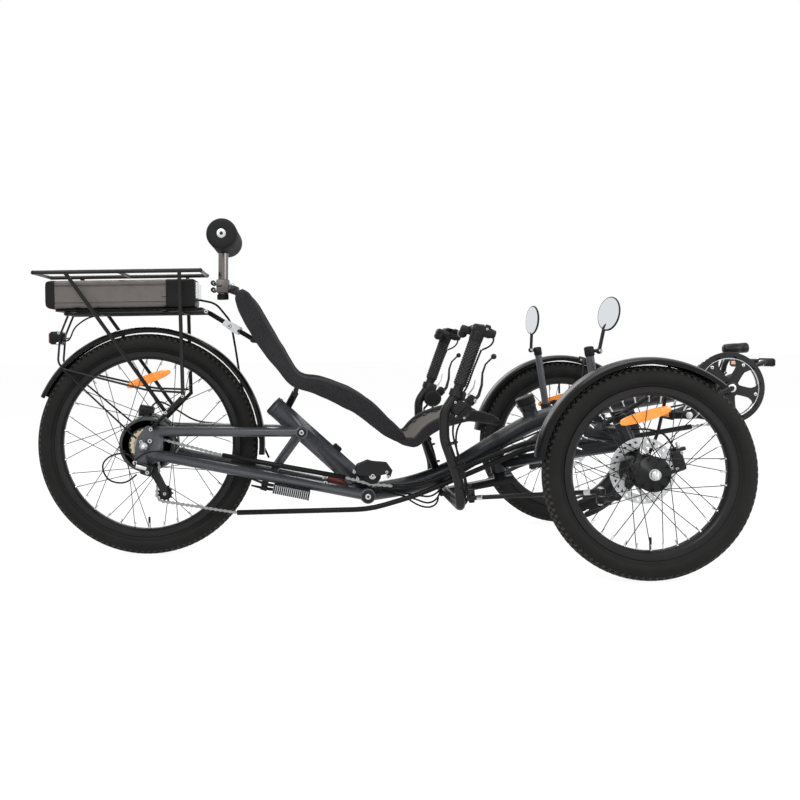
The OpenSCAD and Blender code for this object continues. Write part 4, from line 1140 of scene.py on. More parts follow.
guide = Shape()
guide.turned([(23, -9), (23, -7.4), (20, -6), (20, 6), (23, 7.4), (23, 9), (10, 9), (10, -9)], IDLER, ACROSS,
    PLASTIC, 48, closed=True)
guide.turned([(9.8, -10), (9.8, 10)], IDLER, ACROSS, STEEL, 24)
guide.bolt(IDLER + Vector((0, -10, 0)), (0, -1, 0), 12, STEEL)
for y in (-12.5, 12.5):
    guide.plate([(-47, 0), (-42, 18), (-12, 30), (0, 26), (40, 22), (54, 2), (48, -16), (36, -8), (10, -14),
        (-34, -10)], 2.4, IDLER + Vector((0, y, 12)), (1, 0, 0), (0, 0, 1), BLACK_METAL)
for x, z in ((564, 226), (573, 207), (656, 211), (652, 224)):
    guide.bolt((x, IDLER.y - 13.7, z), (0, -1, 0), 9, STEEL)
    guide.turned([(3.2, -12.4), (3.2, 12.4)], (x, IDLER.y, z), ACROSS, STEEL, 12)
guide.piece("idler_and_keepers", "frame", "idler")

# %% [markdown]
# ## Frame tubes
# The main tube is near black and the rear half is graphite grey. The tubes keep their CAD shape;
# welds, caps and bolts are added where tubes meet.
# %% Frame
for node, finish in (("diagonal_tube", GRAPHITE), ("cross_arms", FRAME_BLACK), ("boom", FRAME_BLACK),
                     ("main_tube", FRAME_BLACK), ("swingarm", GRAPHITE), ("shock", RED_BROWN),
                         ("rear_axle", STEEL)):
    refined(node, finish, angle=34)


def weld(shape, centre, axis, radius, finish, size=2.6):
    """The raised bead round a tube's end."""
    profile = [(radius - 1 + size * math.cos(a), size * math.sin(a) * 1.3)
        for a in [math.pi * i / 6 - math.pi / 2 for i in range(7)]]
    shape.turned(profile, centre, axis, finish, 40, closed=True)


PIVOT = Vector((601, 0, 158))
EYE = Vector((424, 0, 333))
trim = Shape()
for side in (RIGHT, LEFT):
    out = Vector((0, side, 0))
    trim.turned([(17, 59.6), (17, 61), (15, 61.8), (11, 61.8)], PIVOT, out, BLACK_METAL, 40)
    trim.bolt(PIVOT + out * 61.6, out, 16, STEEL, 5)
    trim.turned([(12.6, 56.8), (12.6, 57.8), (11, 58.4)], EYE, out, BLACK_METAL, 32)
    trim.bolt(EYE + out * 57.2, out, 14, STEEL, 5)
    for x, z, wide in ((-7, 316, 11), (17, 318, 13), (22, 350, 12)):
        trim.bolt((x, 73.2 * side, z), out, wide, STEEL)
    trim.bolt((487, 53 * side, 196), out, 12, STEEL)
trim.piece("frame_bolts", "frame")

beads = Shape()
cap = Vector((348, 0, 405))
run = (cap - Vector((601, 0, 171))).normalized()
weld(beads, cap - run * 7, run, 28.4, GRAPHITE, 1.6)
beads.turned([(27.3, -3), (27.3, 1.5), (24, 4), (6, 4.6)], cap, run, PLASTIC, 48)
block_at = Vector((521, 0, 284))
lie = 180 - math.degrees(math.atan2(-run.z, -run.x))
beads.block((26, 22, 16), block_at, PLASTIC, (0, lie, 0), soft=3)
for i in (-1, 0, 1):
    beads.block((3, 24, 18), block_at + run * 7 * i, PLASTIC, (0, lie, 0), soft=1)
post_top = Vector((1041, 0, 416))
stub = (post_top - Vector((1064, 0, 352))).normalized()
beads.turned([(25.4, -19), (25.9, -17), (25.9, 0.4), (23, 2.4), (8, 3)], post_top, stub, PLASTIC, 48)
beads.turned([(21.6, -33), (23, -31), (23, -21), (21.6, -20)], post_top, stub, FRAME_BLACK, 48)
beads.piece("frame_caps", "frame")

# %% [markdown]
# The steering parts are short exact forms: heads, kingpins, arms and calipers. A cap closes each
# head, and two bolts hold each caliper.
# %% Steering ends
CASTER, LEAN = math.radians(20), math.radians(9)
for key, side in SIDES.items():
    body = key + "_knuckle"
    refined(key + "_knuckle", BLACK_METAL, tip=(TRACK_HALF + 33, STEEL))
    down = Vector((math.tan(CASTER), side * math.tan(LEAN), -1)).normalized()
    top = Vector((FRONT_AXLE.x - 40, side * 290, FRONT_AXLE.z + 122))
    cap = Shape()
    cap.turned([(18.4, 6), (18.6, 1), (17, -3.4), (12, -4.4), (11, -8), (5, -8.6)], top - down * 5, down,
        PLASTIC, 36)
    cap.piece(key + "_head_cap", body)
    collars = Shape()
    for drop in (9, 80):
        collars.turned([(16.4, -1.4), (18.2, -0.8), (18.2, 0.8), (16.4, 1.4)], top + down * drop, down, STEEL,
            40, closed=True)
    collars.piece(key + "_head_rings", "frame")
    y = (TRACK_HALF - DISC_IN) * side
    calf = Shape()
    at = Vector((FRONT_AXLE.x + 84, y, FRONT_AXLE.z + 24))
    calf.block((34, 12, 60), at - Vector((0, 9.5 * side, 0)), BLACK_METAL, (0, -16, 0), soft=5)
    calf.block((26, 8, 48), at + Vector((0, 7 * side, 0)), BLACK_METAL, (0, -16, 0), soft=3)
    for s in (-1, 1):
        calf.block((24, 12, 9), at + Vector((s * 7.6, 0, s * 26)), BLACK_METAL, (0, -16, 0), soft=3)
        calf.bolt(at + Vector((s * 5.4, 8.5 * side, s * 19)), (0, side, 0), 8, STEEL)
    calf.turned([(11, 14), (11, 17), (9, 19), (4, 19.6)], at, (0, -side, 0), BLACK_METAL, 24)
    calf.tube([(FRONT_AXLE.x + 74, y - 12 * side, FRONT_AXLE.z + 12),
        (FRONT_AXLE.x + 34, y - 19 * side, FRONT_AXLE.z + 3),
        (FRONT_AXLE.x + 13, y - 20 * side, FRONT_AXLE.z + 2)], 11, BLACK_METAL, 14)
    calf.bolt(at + Vector((-2, 12 * side, 31)), (-0.3, 0, 1), 9, ALLOY, 14)
    calf.piece(key + "_caliper_body", body, key + "_caliper")
    refined(key + "_drag_link", BLACK_METAL)
    ends = Shape()
    tip = Vector((FRONT_AXLE.x - 100, side * 326, FRONT_AXLE.z - 70))
    root = Vector((880, side * 58, 150))
    eye = tip + Vector((0, 0, 20))
    run = (eye - root).normalized()
    for at in (root + run * 30, eye - run * 34):
        ends.turned([(6.6, -9), (7.6, -8), (7.6, 8), (6.6, 9)], at, run, STEEL, 6)
    ends.turned([(7.4, 7.4), (7, 10), (4, 11.6)], eye, (0, 0, 1), STEEL, 20)
    ends.piece(key + "_link_ends", key + "_link")
    stud = Shape()
    stud.turned([(7, 8.2), (7, 9.5), (4.5, 11.2)], tip, (0, 0, 1), STEEL, 20)
    stud.turned([(6.6, 8.2), (6.6, 13)], tip, (0, 0, -1), STEEL, 6)
    stud.piece(key + "_arm_stud", body)

rear_brake = Shape()
at = Vector((-14, 54, REAR_AXLE.z + 84))
rear_brake.block((44, 9, 34), at + Vector((0, 7.4, 0)), BLACK_METAL, (0, 10, 0), soft=4)
rear_brake.block((36, 5, 26), at - Vector((0, 6.6, 0)), BLACK_METAL, (0, 10, 0), soft=2)
rear_brake.block((40, 17, 8), at + Vector((3, 1, 15)), BLACK_METAL, (0, 10, 0), soft=3)
rear_brake.tube([(-10, 64, 382), (24, 64, 348)], 9, BLACK_METAL, 14)
rear_brake.bolt(at + Vector((-12, 11.6, 4)), (0, 1, 0), 8, STEEL)
rear_brake.bolt(at + Vector((12, 11.6, 0)), (0, 1, 0), 8, STEEL)
rear_brake.piece("rear_caliper_body", "frame", "rear_caliper")

# %% [markdown]
# ## Mudguards
# A mudguard is one thin arched strip with rolled edges. Its section is drawn once and swept round
# the wheel; a pale line of light falls along each rolled edge.
# %% Mudguards
def guard(centre, radius, start, end, wide, skirt, stay=()):
    rings = []
    half = wide / 2
    outer = [(-half + 0.6, -skirt), (-half, 1.5 - skirt), (-half, 0.8), (-half * 0.82, 4.4), (-half * 0.5, 7.0),
        (0, 8.2), (half * 0.5, 7.0), (half * 0.82, 4.4), (half, 0.8), (half, 1.5 - skirt), (half - 0.6, -skirt)]
    inner = [(half - 2.4, -skirt), (half - 2.2, 0.2), (half * 0.72, 2.4), (half * 0.42, 4.9), (0, 5.8),
        (-half * 0.42, 4.9), (-half * 0.72, 2.4), (-half + 2.2, 0.2), (-half + 2.4, -skirt)]
    steps = 72
    for i in range(steps + 1):
        t = math.radians(start + (end - start) * i / steps)
        rings.append([Vector((centre[0] + (radius + r) * math.cos(t), centre[1] + y,
            centre[2] + (radius + r) * math.sin(t))) for y, r in outer + inner])
    made = Shape()
    made.skin(rings, GUARD_PLASTIC)
    for path, width in stay:
        made.tube(path, width, BLACK_METAL, 12, bend=14)
    return made


rear_guard = guard(REAR_AXLE, 315.5, -6, 155, 52, 8)
rear_guard.piece("rear_mudguard_strip", "frame", "rear_mudguard", angle=50)
for key, side in SIDES.items():
    c = WHEELS[key]["centre"]
    stay = mirrored([(c.x + 8, 313, c.z + 2), (c.x + 44, 317, c.z + 90), (c.x + 58, 337, c.z + 184),
                     (c.x + 67, 338, c.z + 259), (c.x + 68, 351, c.z + 262)], side)
    made = guard(c, 266, 50, 171, 60, 9, [(stay, 8)])
    made.block((30, 3, 18), (c.x + 68, 346 * side, c.z + 258), BLACK_METAL, (0, 14, 0), soft=1)
    made.bolt((c.x + 62, 344.4 * side, c.z + 258), (0, -side, 0), 8, STEEL)
    made.piece(key + "_mudguard_strip", key + "_knuckle", key + "_mudguard", angle=50)

# %% [markdown]
# ## Rack and battery
# The rack keeps its CAD tubes. The battery is a length of drawn aluminium between two moulded
# caps. One cross-section is lofted along it, and two narrow grooves in that section frame each
# side panel.
# %% Rack and battery
refined("rear_rack", RACK_PAINT, angle=40)
refined("battery_base", PLASTIC, bevel=1.5)
refined("rear_stays", BLACK_METAL, angle=40)


def case_section(x, half, low, high, corner, groove=0.0):
    """One ring of the battery case, with optional grooves in its sides."""
    side = [(half, low + corner), (half, low + 13), (half - groove, low + 14), (half - groove, low + 16),
        (half - groove * 0.3, low + 17), (half - groove * 0.3, high - 17), (half - groove, high - 16),
        (half - groove, high - 14), (half, high - 13), (half, high - corner)]
    top = [(half - corner * (1 - math.cos(a)), high - corner * (1 - math.sin(a)))
        for a in (0.4, 0.8, 1.2, math.pi / 2)]
    under = [(y, low + high - z) for y, z in reversed(top)]
    half_ring = under + side + top
    return [Vector((x, y, z)) for y, z in half_ring] + [Vector((x, -y, z)) for y, z in reversed(half_ring)]


# Each ring of a cap: its place along the trike, half width, underside, top and corner radius
REAR_CAP = [
    (-267, 46, 690, 744, 8), (-265, 51, 684, 750, 9), (-259, 54.6, 679, 753, 9), (-248, 56, 676.4, 754, 8),
    (-239.6, 56, 676.4, 754, 7),
]
FRONT_CAP = [
    (62.6, 56, 676.4, 754, 7), (98, 56, 676.4, 754, 7), (98.4, 55, 677.4, 753, 7), (99.4, 55, 677.4, 753, 7),
    (99.8, 56, 676.4, 754, 7), (134, 56, 676.4, 754, 8), (139, 53.6, 679, 752, 8), (141, 49, 684, 748, 8),
]
battery = Shape()
battery.skin([case_section(x, 55.4, 677, 753.4, 7, 2.0) for x in (-239, 62)], GREY_ALLOY)
for rings in (REAR_CAP, FRONT_CAP):
    battery.skin([case_section(*ring) for ring in rings], PLASTIC)
battery.block((7, 92, 44), (144.6, 0, 722), CLEAR_LENS, soft=2.6)
for side in (RIGHT, LEFT):
    battery.block((62, 1.4, 1.4), (82, 55.6 * side, 706), PLASTIC, soft=0.3)
battery.turned([(8.5, 0), (8.5, 1.2), (7.4, 1.8), (4, 1.8)], (118, 55.4, 722), (0, 1, 0), STEEL, 28)
# A thin black bar across the steel button is painted shade standing in for a slot in it.
battery.block((1.6, 0.5, 6), (118, 57.3, 722), BLACK_METAL, soft=0)
battery.piece("battery_case", "frame", "battery", angle=30)

rack_trim = Shape()
for side in (RIGHT, LEFT):
    for x, y, z, wide in ((171, 57, 664, 11), (109, 97.4, 438, 9), (22, 88, 350.5, 11), (63, 97, 395, 10)):
        rack_trim.bolt((x, y * side, z), (0, side, 0), wide, STEEL)
    rack_trim.plate([(-26, -9), (22, -12), (28, 0), (20, 12), (-24, 9)], 3, (238, 46.6 * side, 622),
        (0.85, 0, -0.53), (0.53, 0, 0.85), STEEL)
    rack_trim.bolt((232, 48 * side, 624), (0, side, 0), 12, STEEL)
    rack_trim.bolt((258, 48 * side, 610), (0, side, 0), 9, BLACK_METAL)
for x in (-180, 60):
    rack_trim.plate([(-7, -93), (7, -93), (7, 93), (-7, 93)], 2.4, (x, 0, 665.6 if x < 0 else 668), (1, 0, 0),
        (0, 1, 0), RACK_PAINT)
rack_trim.piece("rack_bolts_and_plates", "frame")

lamp_shell = Shape()
lamp_shell.block((36, 50, 36), (-247, 0, 599), PLASTIC, soft=8, steps=3)
lamp_shell.block((5, 42, 28), (-264, 0, 599), RED_LENS, soft=2)
lamp_shell.block((10, 54, 9), (-240, 0, 583), STEEL, soft=3)
lamp_shell.block((16, 20, 14), (-231, 0, 606), BLACK_METAL, soft=3)
for side in (RIGHT, LEFT):
    lamp_shell.bolt((-236, 25 * side, 612), (0, side, 0), 8, STEEL)
lamp_shell.tube([(-231, 0, 592), (-214, -4, 590), (-196, -14, 628), (-160, -22, 652), (-120, -24, 662)], 4.4,
    RUBBER, 10, bend=16)
lamp_shell.piece("rear_lamp", "frame", "tail_light")

# %% [markdown]
# ## The seat
# The seat is two stuffed cushions and a woven sling, laced between two side rails. A long soft
# bolster wraps each rail, so the tube doesn't show. Every part follows one side line, which
# `smooth_line` cuts into even steps by its length.
# %% The seat's side line
SEAT_LINE = [(262, 712), (292, 650), (330, 583), (372, 520), (398, 483), (425, 466), (470, 455), (530, 430),
             (585, 399), (640, 350), (690, 312), (722, 306), (752, 334), (790, 356), (862, 374), (938, 360)]


def smooth_line(points, step=6.0):
    """A round curve through the points, cut into short even steps, with its outward direction."""
    fine = []
    padded_line = [points[0], *points, points[-1]]
    for a, b, c, d in zip(padded_line, padded_line[1:], padded_line[2:], padded_line[3:]):
        for i in range(12):
            t = i / 12
            fine.append(tuple(
                0.5 * (2 * q + (r - p) * t + (2 * p - 5 * q + 4 * r - s) * t * t
                    + (3 * q - p - 3 * r + s) * t ** 3)
                for p, q, r, s in zip(a, b, c, d)))
    fine.append(points[-1])
    lengths = [0.0]
    for a, b in zip(fine, fine[1:]):
        lengths.append(lengths[-1] + math.dist(a, b))
    count = max(8, round(lengths[-1] / step))
    line, k = [], 0
    for i in range(count + 1):
        target = lengths[-1] * i / count
        while k < len(fine) - 2 and lengths[k + 1] < target:
            k += 1
        share = (target - lengths[k]) / max(lengths[k + 1] - lengths[k], 1e-9)
        line.append(Vector((fine[k][0] + (fine[k + 1][0] - fine[k][0]) * share, 0,
            fine[k][1] + (fine[k + 1][1] - fine[k][1]) * share)))
    out = []
    for i in range(len(line)):
        run = (line[min(i + 1, count)] - line[max(i - 1, 0)]).normalized()
        out.append(Vector((-run.z, 0, run.x)))
    return line, out, lengths[-1]


print("seat line:", round(smooth_line(SEAT_LINE)[2]), "mm along")

# %% [markdown]
# A cushion is cloth round foam. Each is a thin quilted shell first. Its rim and sewn channels are
# pinned, air pressure fills it between them as Blender's Cloth, and a cap keeps it in its space.
# That leaves the crown and pulled-in seams of a sewn pad.
# %% Cushions
def cushion(name, node, points, channels, half=126.0, low=-8.0, high=17.0, panel=92.0, cap=11.0):
    line, out, length = smooth_line(points, 5.5)
    across = 44
    rows, count = len(line), across + 1
    work = bmesh.new()
    sheets = []
    pins = set()
    for lift, crown in ((high, 1), (low, -0.15)):
        sheet = []
        for i, (here, up) in enumerate(zip(line, out)):
            v = 2 * i / (rows - 1) - 1
            near = min(abs(i / (rows - 1) - c) * length for c in channels) if channels else 99
            row = []
            for j in range(count):
                u = 2 * j / across - 1
                round_off = (1 - abs(u) ** 8) * (1 - abs(v) ** 14)
                middle_lift = (high + low) / 2
                depth = middle_lift + (lift - middle_lift) * (0.25 + 0.75 * round_off)
                if crown > 0:
                    depth -= 7.0 * math.exp(-(near / 5.0) ** 2) * round_off
                    depth -= 3.0 * math.exp(-((abs(u) * half - panel) / 4.0) ** 2) * round_off
                shrink = 1 - 0.012 * math.sin(math.pi * (i / (rows - 1)) * (len(channels) + 1)) ** 2
                vert = work.verts.new(here + up * depth + Vector((0, u * half * shrink, 0)))
                row.append(vert)
                if crown > 0 and (near < 3.2 or abs(abs(u) * half - panel) < 2.9) or crown < 0:
                    pins.add(vert)
                if j in (0, across) or i in (0, rows - 1):
                    pins.add(vert)
            sheet.append(row)
        sheets.append(sheet)
    top, under = sheets
    for i in range(rows - 1):
        for j in range(across):
            face = work.faces.new((top[i][j], top[i][j + 1], top[i + 1][j + 1], top[i + 1][j]))
            u = abs(2 * (j + 0.5) / across - 1) * half
            face.material_index = 1 if u < panel and 0.05 < (i + 0.5) / rows < 0.95 else 0
            work.faces.new((under[i][j], under[i + 1][j], under[i + 1][j + 1], under[i][j + 1]))
    rim_top = top[0] + [r[-1] for r in top[1:]] + top[-1][-2::-1] + [r[0] for r in top[-2:0:-1]]
    rim_under = under[0] + [r[-1] for r in under[1:]] + under[-1][-2::-1] + [r[0] for r in under[-2:0:-1]]
    for k in range(len(rim_top)):
        n = (k + 1) % len(rim_top)
        work.faces.new((rim_top[k], rim_under[k], rim_under[n], rim_top[n]))
    bmesh.ops.recalc_face_normals(work, faces=work.faces[:])
    work.verts.index_update()
    pinned = [v.index for v in pins]
    for vert in work.verts:
        vert.co = spot(*vert.co)
    data = bpy.data.meshes.new(name)
    work.to_mesh(data)
    work.free()
    inflate(data, pinned, cap)
    made = as_piece(name, data, [CUSHION, SLING], "frame", node, angle=80)
    smooth = made.modifiers.new("smooth_cloth", "SUBSURF")
    smooth.levels = smooth.render_levels = 1
    return made


def inflate(data, pinned, cap):
    """Fills a closed cloth shell with air for 20 frames, holding its seams, and stops it at the cap."""
    start = [v.co.copy() for v in data.vertices]
    holder = helper_object("cushion_maker", data)
    held = holder.vertex_groups.new(name="seams")
    held.add(pinned, 1.0, "REPLACE")
    cloth = holder.modifiers.new("cloth", "CLOTH")
    fabric = cloth.settings
    fabric.quality, fabric.mass = 6, 0.3
    fabric.tension_stiffness = fabric.compression_stiffness = 12
    fabric.bending_stiffness = 1.5
    fabric.use_pressure, fabric.uniform_pressure_force = True, 4.0
    fabric.effector_weights.gravity = 0
    fabric.vertex_group_mass, fabric.pin_stiffness = "seams", 5.0
    cloth.collision_settings.use_collision = False
    for frame_number in range(1, 21):
        scene.frame_set(frame_number)
    shown = holder.evaluated_get(bpy.context.evaluated_depsgraph_get())
    moved = 0.0
    for vertex, was, now in zip(data.vertices, start, [v.co.copy() for v in shown.data.vertices]):
        step = now - was
        moved = max(moved, step.length)
        if step.length > cap * MM:
            step = step.normalized() * cap * MM
        vertex.co = was + step
    holder.modifiers.remove(cloth)
    bpy.data.objects.remove(holder)
    scene.frame_set(1)
    print("cloth moved up to", round(moved / MM, 1), "mm, kept within", cap)


cushion("back_cushion", "back_pad", [(x + 4, z - 3) for x, z in SEAT_LINE[:5]], (0.2, 0.4, 0.6, 0.8))
cushion("seat_cushion", "seat_pad", SEAT_LINE[6:10], (0.33, 0.66))


# %% [markdown]
# The bolsters are long narrow cushions. Their height changes along the rail, and their cloth is
# pulled into shallow creases along it, which follow a set pattern, so they are drawn directly. A
# cord of piping runs along the outer edge.
# %% Bolsters and piping
RAIL_Y = 138


def bolster(name, side, points, heights, width):
    line, out, length = smooth_line(points, 7.0)
    made, rings, edge = Shape(), [], []
    for i, (here, up) in enumerate(zip(line, out)):
        place = i / (len(line) - 1) * (len(heights) - 1)
        k = min(int(place), len(heights) - 2)
        ease = (place - k) ** 2 * (3 - 2 * (place - k))
        tall = heights[k] + (heights[k + 1] - heights[k]) * ease
        end = min(1.0, (min(i, len(line) - 1 - i) + 0.7) / 3) ** 0.5
        crease = 1 - 0.035 * (0.5 + 0.5 * math.sin(i * 0.9)) * (0.5 + 0.5 * math.sin(i * 0.23 + side))
        ring = []
        for n in range(24):
            t = 2 * math.pi * n / 24
            c, s = math.cos(t), math.sin(t)
            y = abs(c) ** 0.8 * math.copysign(width / 2, c) * end
            z = abs(s) ** 0.8 * math.copysign(tall * crease, s) * end
            ring.append(here + up * (z + 5) + Vector((0, side * RAIL_Y + y, 0)))
        rings.append(ring)
        edge.append(here + up * (5 + tall * crease * end * 0.72)
            + Vector((0, side * (RAIL_Y + width / 2 * end * 0.78), 0)))
    made.skin(rings, CUSHION)
    made.tube(edge[2:-2], 3.6, WEBBING, 8)
    piece = made.piece(name, "frame", angle=70)
    return piece


refined("seat_rails", BLACK_METAL, angle=40)
for key, side in SIDES.items():
    bolster(key + "_seat_bolster", side, SEAT_LINE[:11], [20, 27, 27, 25, 20, 19, 24, 27, 26, 22, 15], 30)
    bolster(key + "_sling_edge", side, SEAT_LINE[10:], [13, 13, 15, 15, 14, 10], 27)

# %% [markdown]
# The sling is one cut of open weave, stretched from rail to rail. It sags a little in the middle.
# Two hems and a row of eyelets finish it.
# %% Sling
line, out, length = smooth_line(SEAT_LINE[10:15], 8.0)
sling_data = bpy.data.meshes.new("sling")
count = 28
verts, faces = [], []
for i, (here, up) in enumerate(zip(line, out)):
    for j in range(count + 1):
        u = 2 * j / count - 1
        sag = 6.5 * (1 - u * u) * math.sin(math.pi * i / (len(line) - 1)) ** 0.5
        verts.append(spot(*(here + up * (9 - sag) + Vector((0, u * 127, 0)))))
for i in range(len(line) - 1):
    for j in range(count):
        a = i * (count + 1) + j
        faces.append((a, a + 1, a + count + 2, a + count + 1))
sling_data.from_pydata(verts, [], faces)
sling = as_piece("seat_sling_cloth", sling_data, [SLING], "frame", "seat_sling", angle=80)
wall = sling.modifiers.new("cloth_thickness", "SOLIDIFY")
wall.thickness, wall.offset = 0.0022, 0.0
print("sling:", round(length), "mm long")
hems = Shape()
for k in (0, -1):
    hems.tube([line[k] + out[k] * 9 + Vector((0, y, 0)) for y in range(-124, 125, 31)], 7, WEBBING, 10)
for side in (RIGHT, LEFT):
    for i in range(2, len(line) - 1, 4):
        hems.turned([(5, -2), (6.2, -1), (6.2, 1.4), (5, 2.4), (2.6, 1.6)],
            line[i] + out[i] * 10 + Vector((0, 116 * side, 0)), out[i], BLACK_METAL, 16)
hem_piece = hems.piece("sling_hems", "frame")

# %% [markdown]
# ## Headrest
# A roll of closed foam on a bright tube. The foam skin has fine pits, its ends are rounded over,
# and a steel washer holds each end.
# %% Headrest
HEADREST = Vector((220, 0, 867))
roll = Shape()
profile = [(9, -119), (14, -121), (26, -122), (34, -121), (39, -117), (41, -110), (41, -60), (40.4, 0)]
profile += [(r, -along) for r, along in reversed(profile[:-1])]
roll.turned(profile, HEADREST, ACROSS, FOAM, 64)
rest = roll.piece("headrest_roll", "frame", "headrest_pad", angle=60)
holder = Shape()
for side in (RIGHT, LEFT):
    holder.turned([(12, 119), (12, 121.4), (10, 122), (5, 122)], HEADREST, (0, side, 0), STEEL, 32)
    holder.bolt(HEADREST + Vector((0, 121.6 * side, 0)), (0, side, 0), 9, BLACK_METAL, 2)
post = bare("post_chrome", (0.17, 0.155, 0.145), 0.16, slot="steel")
holder.tube([(212, 0, 700), (213, 0, 716), (215, 0, 826)], 27.6, post, 36)
holder.turned([(13, 0), (16, 1), (16, 14), (13, 16)], (212, 0, 698), (0, 0, 1), PLASTIC, 32)
holder.tube([(214, 0, 735), (248, 0, 722)], 22, GREY_ALLOY, 28)
holder.block((34, 44, 38), (213, 0, 735), GREY_ALLOY, soft=4)
holder.block((16, 46, 4), (204, 0, 735), BLACK_METAL, soft=1)
holder.block((22, 30, 24), (244, 0, 724), BLACK_METAL, (0, 20, 0), soft=4)
for z in (725, 744):
    for y in (-13, 13):
        holder.turned([(3.4, -5), (7, -5), (7, 5), (3.4, 5)], (187, y, z), ACROSS, BLACK_METAL, 20, closed=True)
        holder.tube([(187, y, z), (199, y, z)], 5, STEEL, 10)
for y in (-14, 0, 14):
    holder.bolt((240, y, 736), (-0.3, 0, 1), 9, STEEL, 7)
holder.piece("headrest_post_and_clamp", "frame", "headrest_post")

# %% [markdown]
# ## Steering bar
# The bar is one bent tube with a foam grip on each upright. The foam is moulded in a crossing
# diamond pattern, so its surface is made from two crossing waves on a fine grid.
# %% Handlebar and grips
refined("handlebar", BLACK_METAL, angle=34)
GRIP_LOW, GRIP_TOP, GRIP_Y = Vector((819, 0, 461)), Vector((862, 0, 577)), 250
for key, side in SIDES.items():
    low, top = GRIP_LOW + Vector((0, GRIP_Y * side, 0)), GRIP_TOP + Vector((0, GRIP_Y * side, 0))
    run, long = (top - low).normalized(), (top - low).length
    across, up, _ = unit_frame(run)
    rings = []
    for i in range(121):
        s = long * i / 120
        ease = min(1.0, 0.82 + min(s, long - s) / 22)
        rings.append([])
        for k in range(72):
            t = 2 * math.pi * k / 72
            wave = abs(math.sin(5 * t + s * 0.27)) * abs(math.sin(5 * t - s * 0.27))
            radius = (14.2 + 2.8 * wave) * ease
            rings[-1].append(low + run * s + (across * math.cos(t) + up * math.sin(t)) * radius)
    grip = Shape()
    grip.skin(rings, GRIP)
    grip.piece(key + "_grip", "handlebar", "grips" if side == RIGHT else (), angle=80)

# %% [markdown]
# The controls are small castings on each bar: a lever pod with a curved brake blade low down, and
# a shift or throttle block on the top. Each is built from rounded blocks, turned caps and screws.
# %% Controls
CONTROL = moulded("control_plastic", (0.012, 0.012, 0.012), 0.36, 1900, 0.15, slot="black_plastic")
for key, side in SIDES.items():
    y = GRIP_Y * side
    pod = Shape()
    at = Vector((822, y - 4 * side, 405))
    pod.turned([(10, -22), (20, -21), (25, -16), (26.5, -6), (26.5, 8), (24, 15), (17, 20), (7, 22)], at,
        ACROSS, CONTROL, 40)
    pod.turned([(19, 19.4), (19, 21), (17.5, 22.4), (8, 23)], at, (0, side, 0), BLACK_METAL, 36)
    pod.block((30, 30, 40), at + Vector((-6, 0, 26)), BLACK_METAL, (0, 22, 0), soft=5)
    pod.block((22, 24, 26), at + Vector((26, 2 * side, 20)), CONTROL, (0, 30, 0), soft=6)
    pod.turned([(17, -9), (18.5, -8), (18.5, 8), (17, 9)], (812, y, 442), (0.35, 0, 0.94), BLACK_METAL, 36)
    for x, z in ((806, 421), (826, 421), (827, 382), (808, 386)):
        pod.bolt((x, y + 15.5 * side, z), (0, side, 0), 6.4, STEEL, 2.6)
    blade = [(853, y, 421), (866, y + 3 * side, 436), (874, y + 5 * side, 462), (876, y + 6 * side, 492),
        (884, y + 6 * side, 514), (902, y + 5 * side, 531)]
    pod.tube(blade, 0, BLACK_METAL, 16, widths=[16, 14, 11, 9, 8, 8], flat=0.6)
    pod.ball((905, y + 5 * side, 533), 7.2, BLACK_METAL)
    pod.bolt((856, y + 9 * side, 424), (0, side, 0), 9, STEEL)
    pod.block((22, 18, 20), (848, y, 424), BLACK_METAL, (0, -20, 0), soft=4)
    pod.tube([(838, y + 12 * side, 438), (852, y + 15 * side, 458), (856, y + 16 * side, 476)], 0, ALLOY, 12,
        widths=[9, 7, 4], flat=0.5)
    pod.tube([(838, y + 20 * side, 410), (820, y + 26 * side, 392), (800, y + 22 * side, 372)], 6.5, RUBBER, 12,
        bend=14)
    pod.piece(key + "_lever_pod", "handlebar", "bar_controls" if side == RIGHT else ())

    head = Shape()
    lean = 20
    head.block((54, 28, 26), (878, y, 597), CONTROL, (0, lean, 0), soft=8, steps=3)
    head.turned([(14, -17), (17, -16), (17.4, -4), (17.4, 6), (15, 9)], (866, y, 588), (0.35, 0, 0.94), CONTROL,
        40)
    head.block((16, 34, 12), (893, y - 4 * side, 606), CONTROL, (0, lean, 10 * side), soft=4)
    head.turned([(10, 0), (11, 2), (11, 9), (9, 11), (4, 12)], (900, y, 590), (0.94, 0, -0.3), BLACK_METAL, 28)
    head.ball((905, y - 6 * side, 594), 7, CONTROL)
    head.tube([(884, y - 12 * side, 610), (868, y - 24 * side, 614), (850, y - 34 * side, 606)], 0, CONTROL, 14,
        widths=[12, 10, 13], flat=0.55)
    head.block((28, 14, 8), (862, y - 15 * side, 602), CONTROL, (0, lean, 24 * side), soft=3)
    head.block((40, 26, 20), (850, y - 40 * side, 600), CONTROL, (0, lean, 12 * side), soft=6)
    head.turned([(9, -10), (11, -9), (11, 9), (9, 10)], (836, y - 44 * side, 592), ACROSS, CONTROL, 24)
    for x, z in ((866, 603), (888, 611)):
        head.bolt((x, y + 13.6 * side, z - 10), (0, side, 0), 6, STEEL, 2.2)
    head.tube([(898, y + 8 * side, 588), (906, y + 12 * side, 574), (894, y + 16 * side, 558),
        (874, y + 17 * side, 550)], 4.6, RUBBER, 10, bend=12)
    head.piece(key + "_top_control", "handlebar")

# %% [markdown]
# ## Cables
# Brake and shift cables run down beside each upright and along the frame to what they work. They
# are held all the way, so each is a fixed round-cornered path.
# %% Cables
def cable(name, body, paths, width=5.0, bend=26):
    made = Shape()
    for path in paths:
        made.tube(path, width, RUBBER, 10, bend=bend)
    return made.piece(name, body, angle=70)


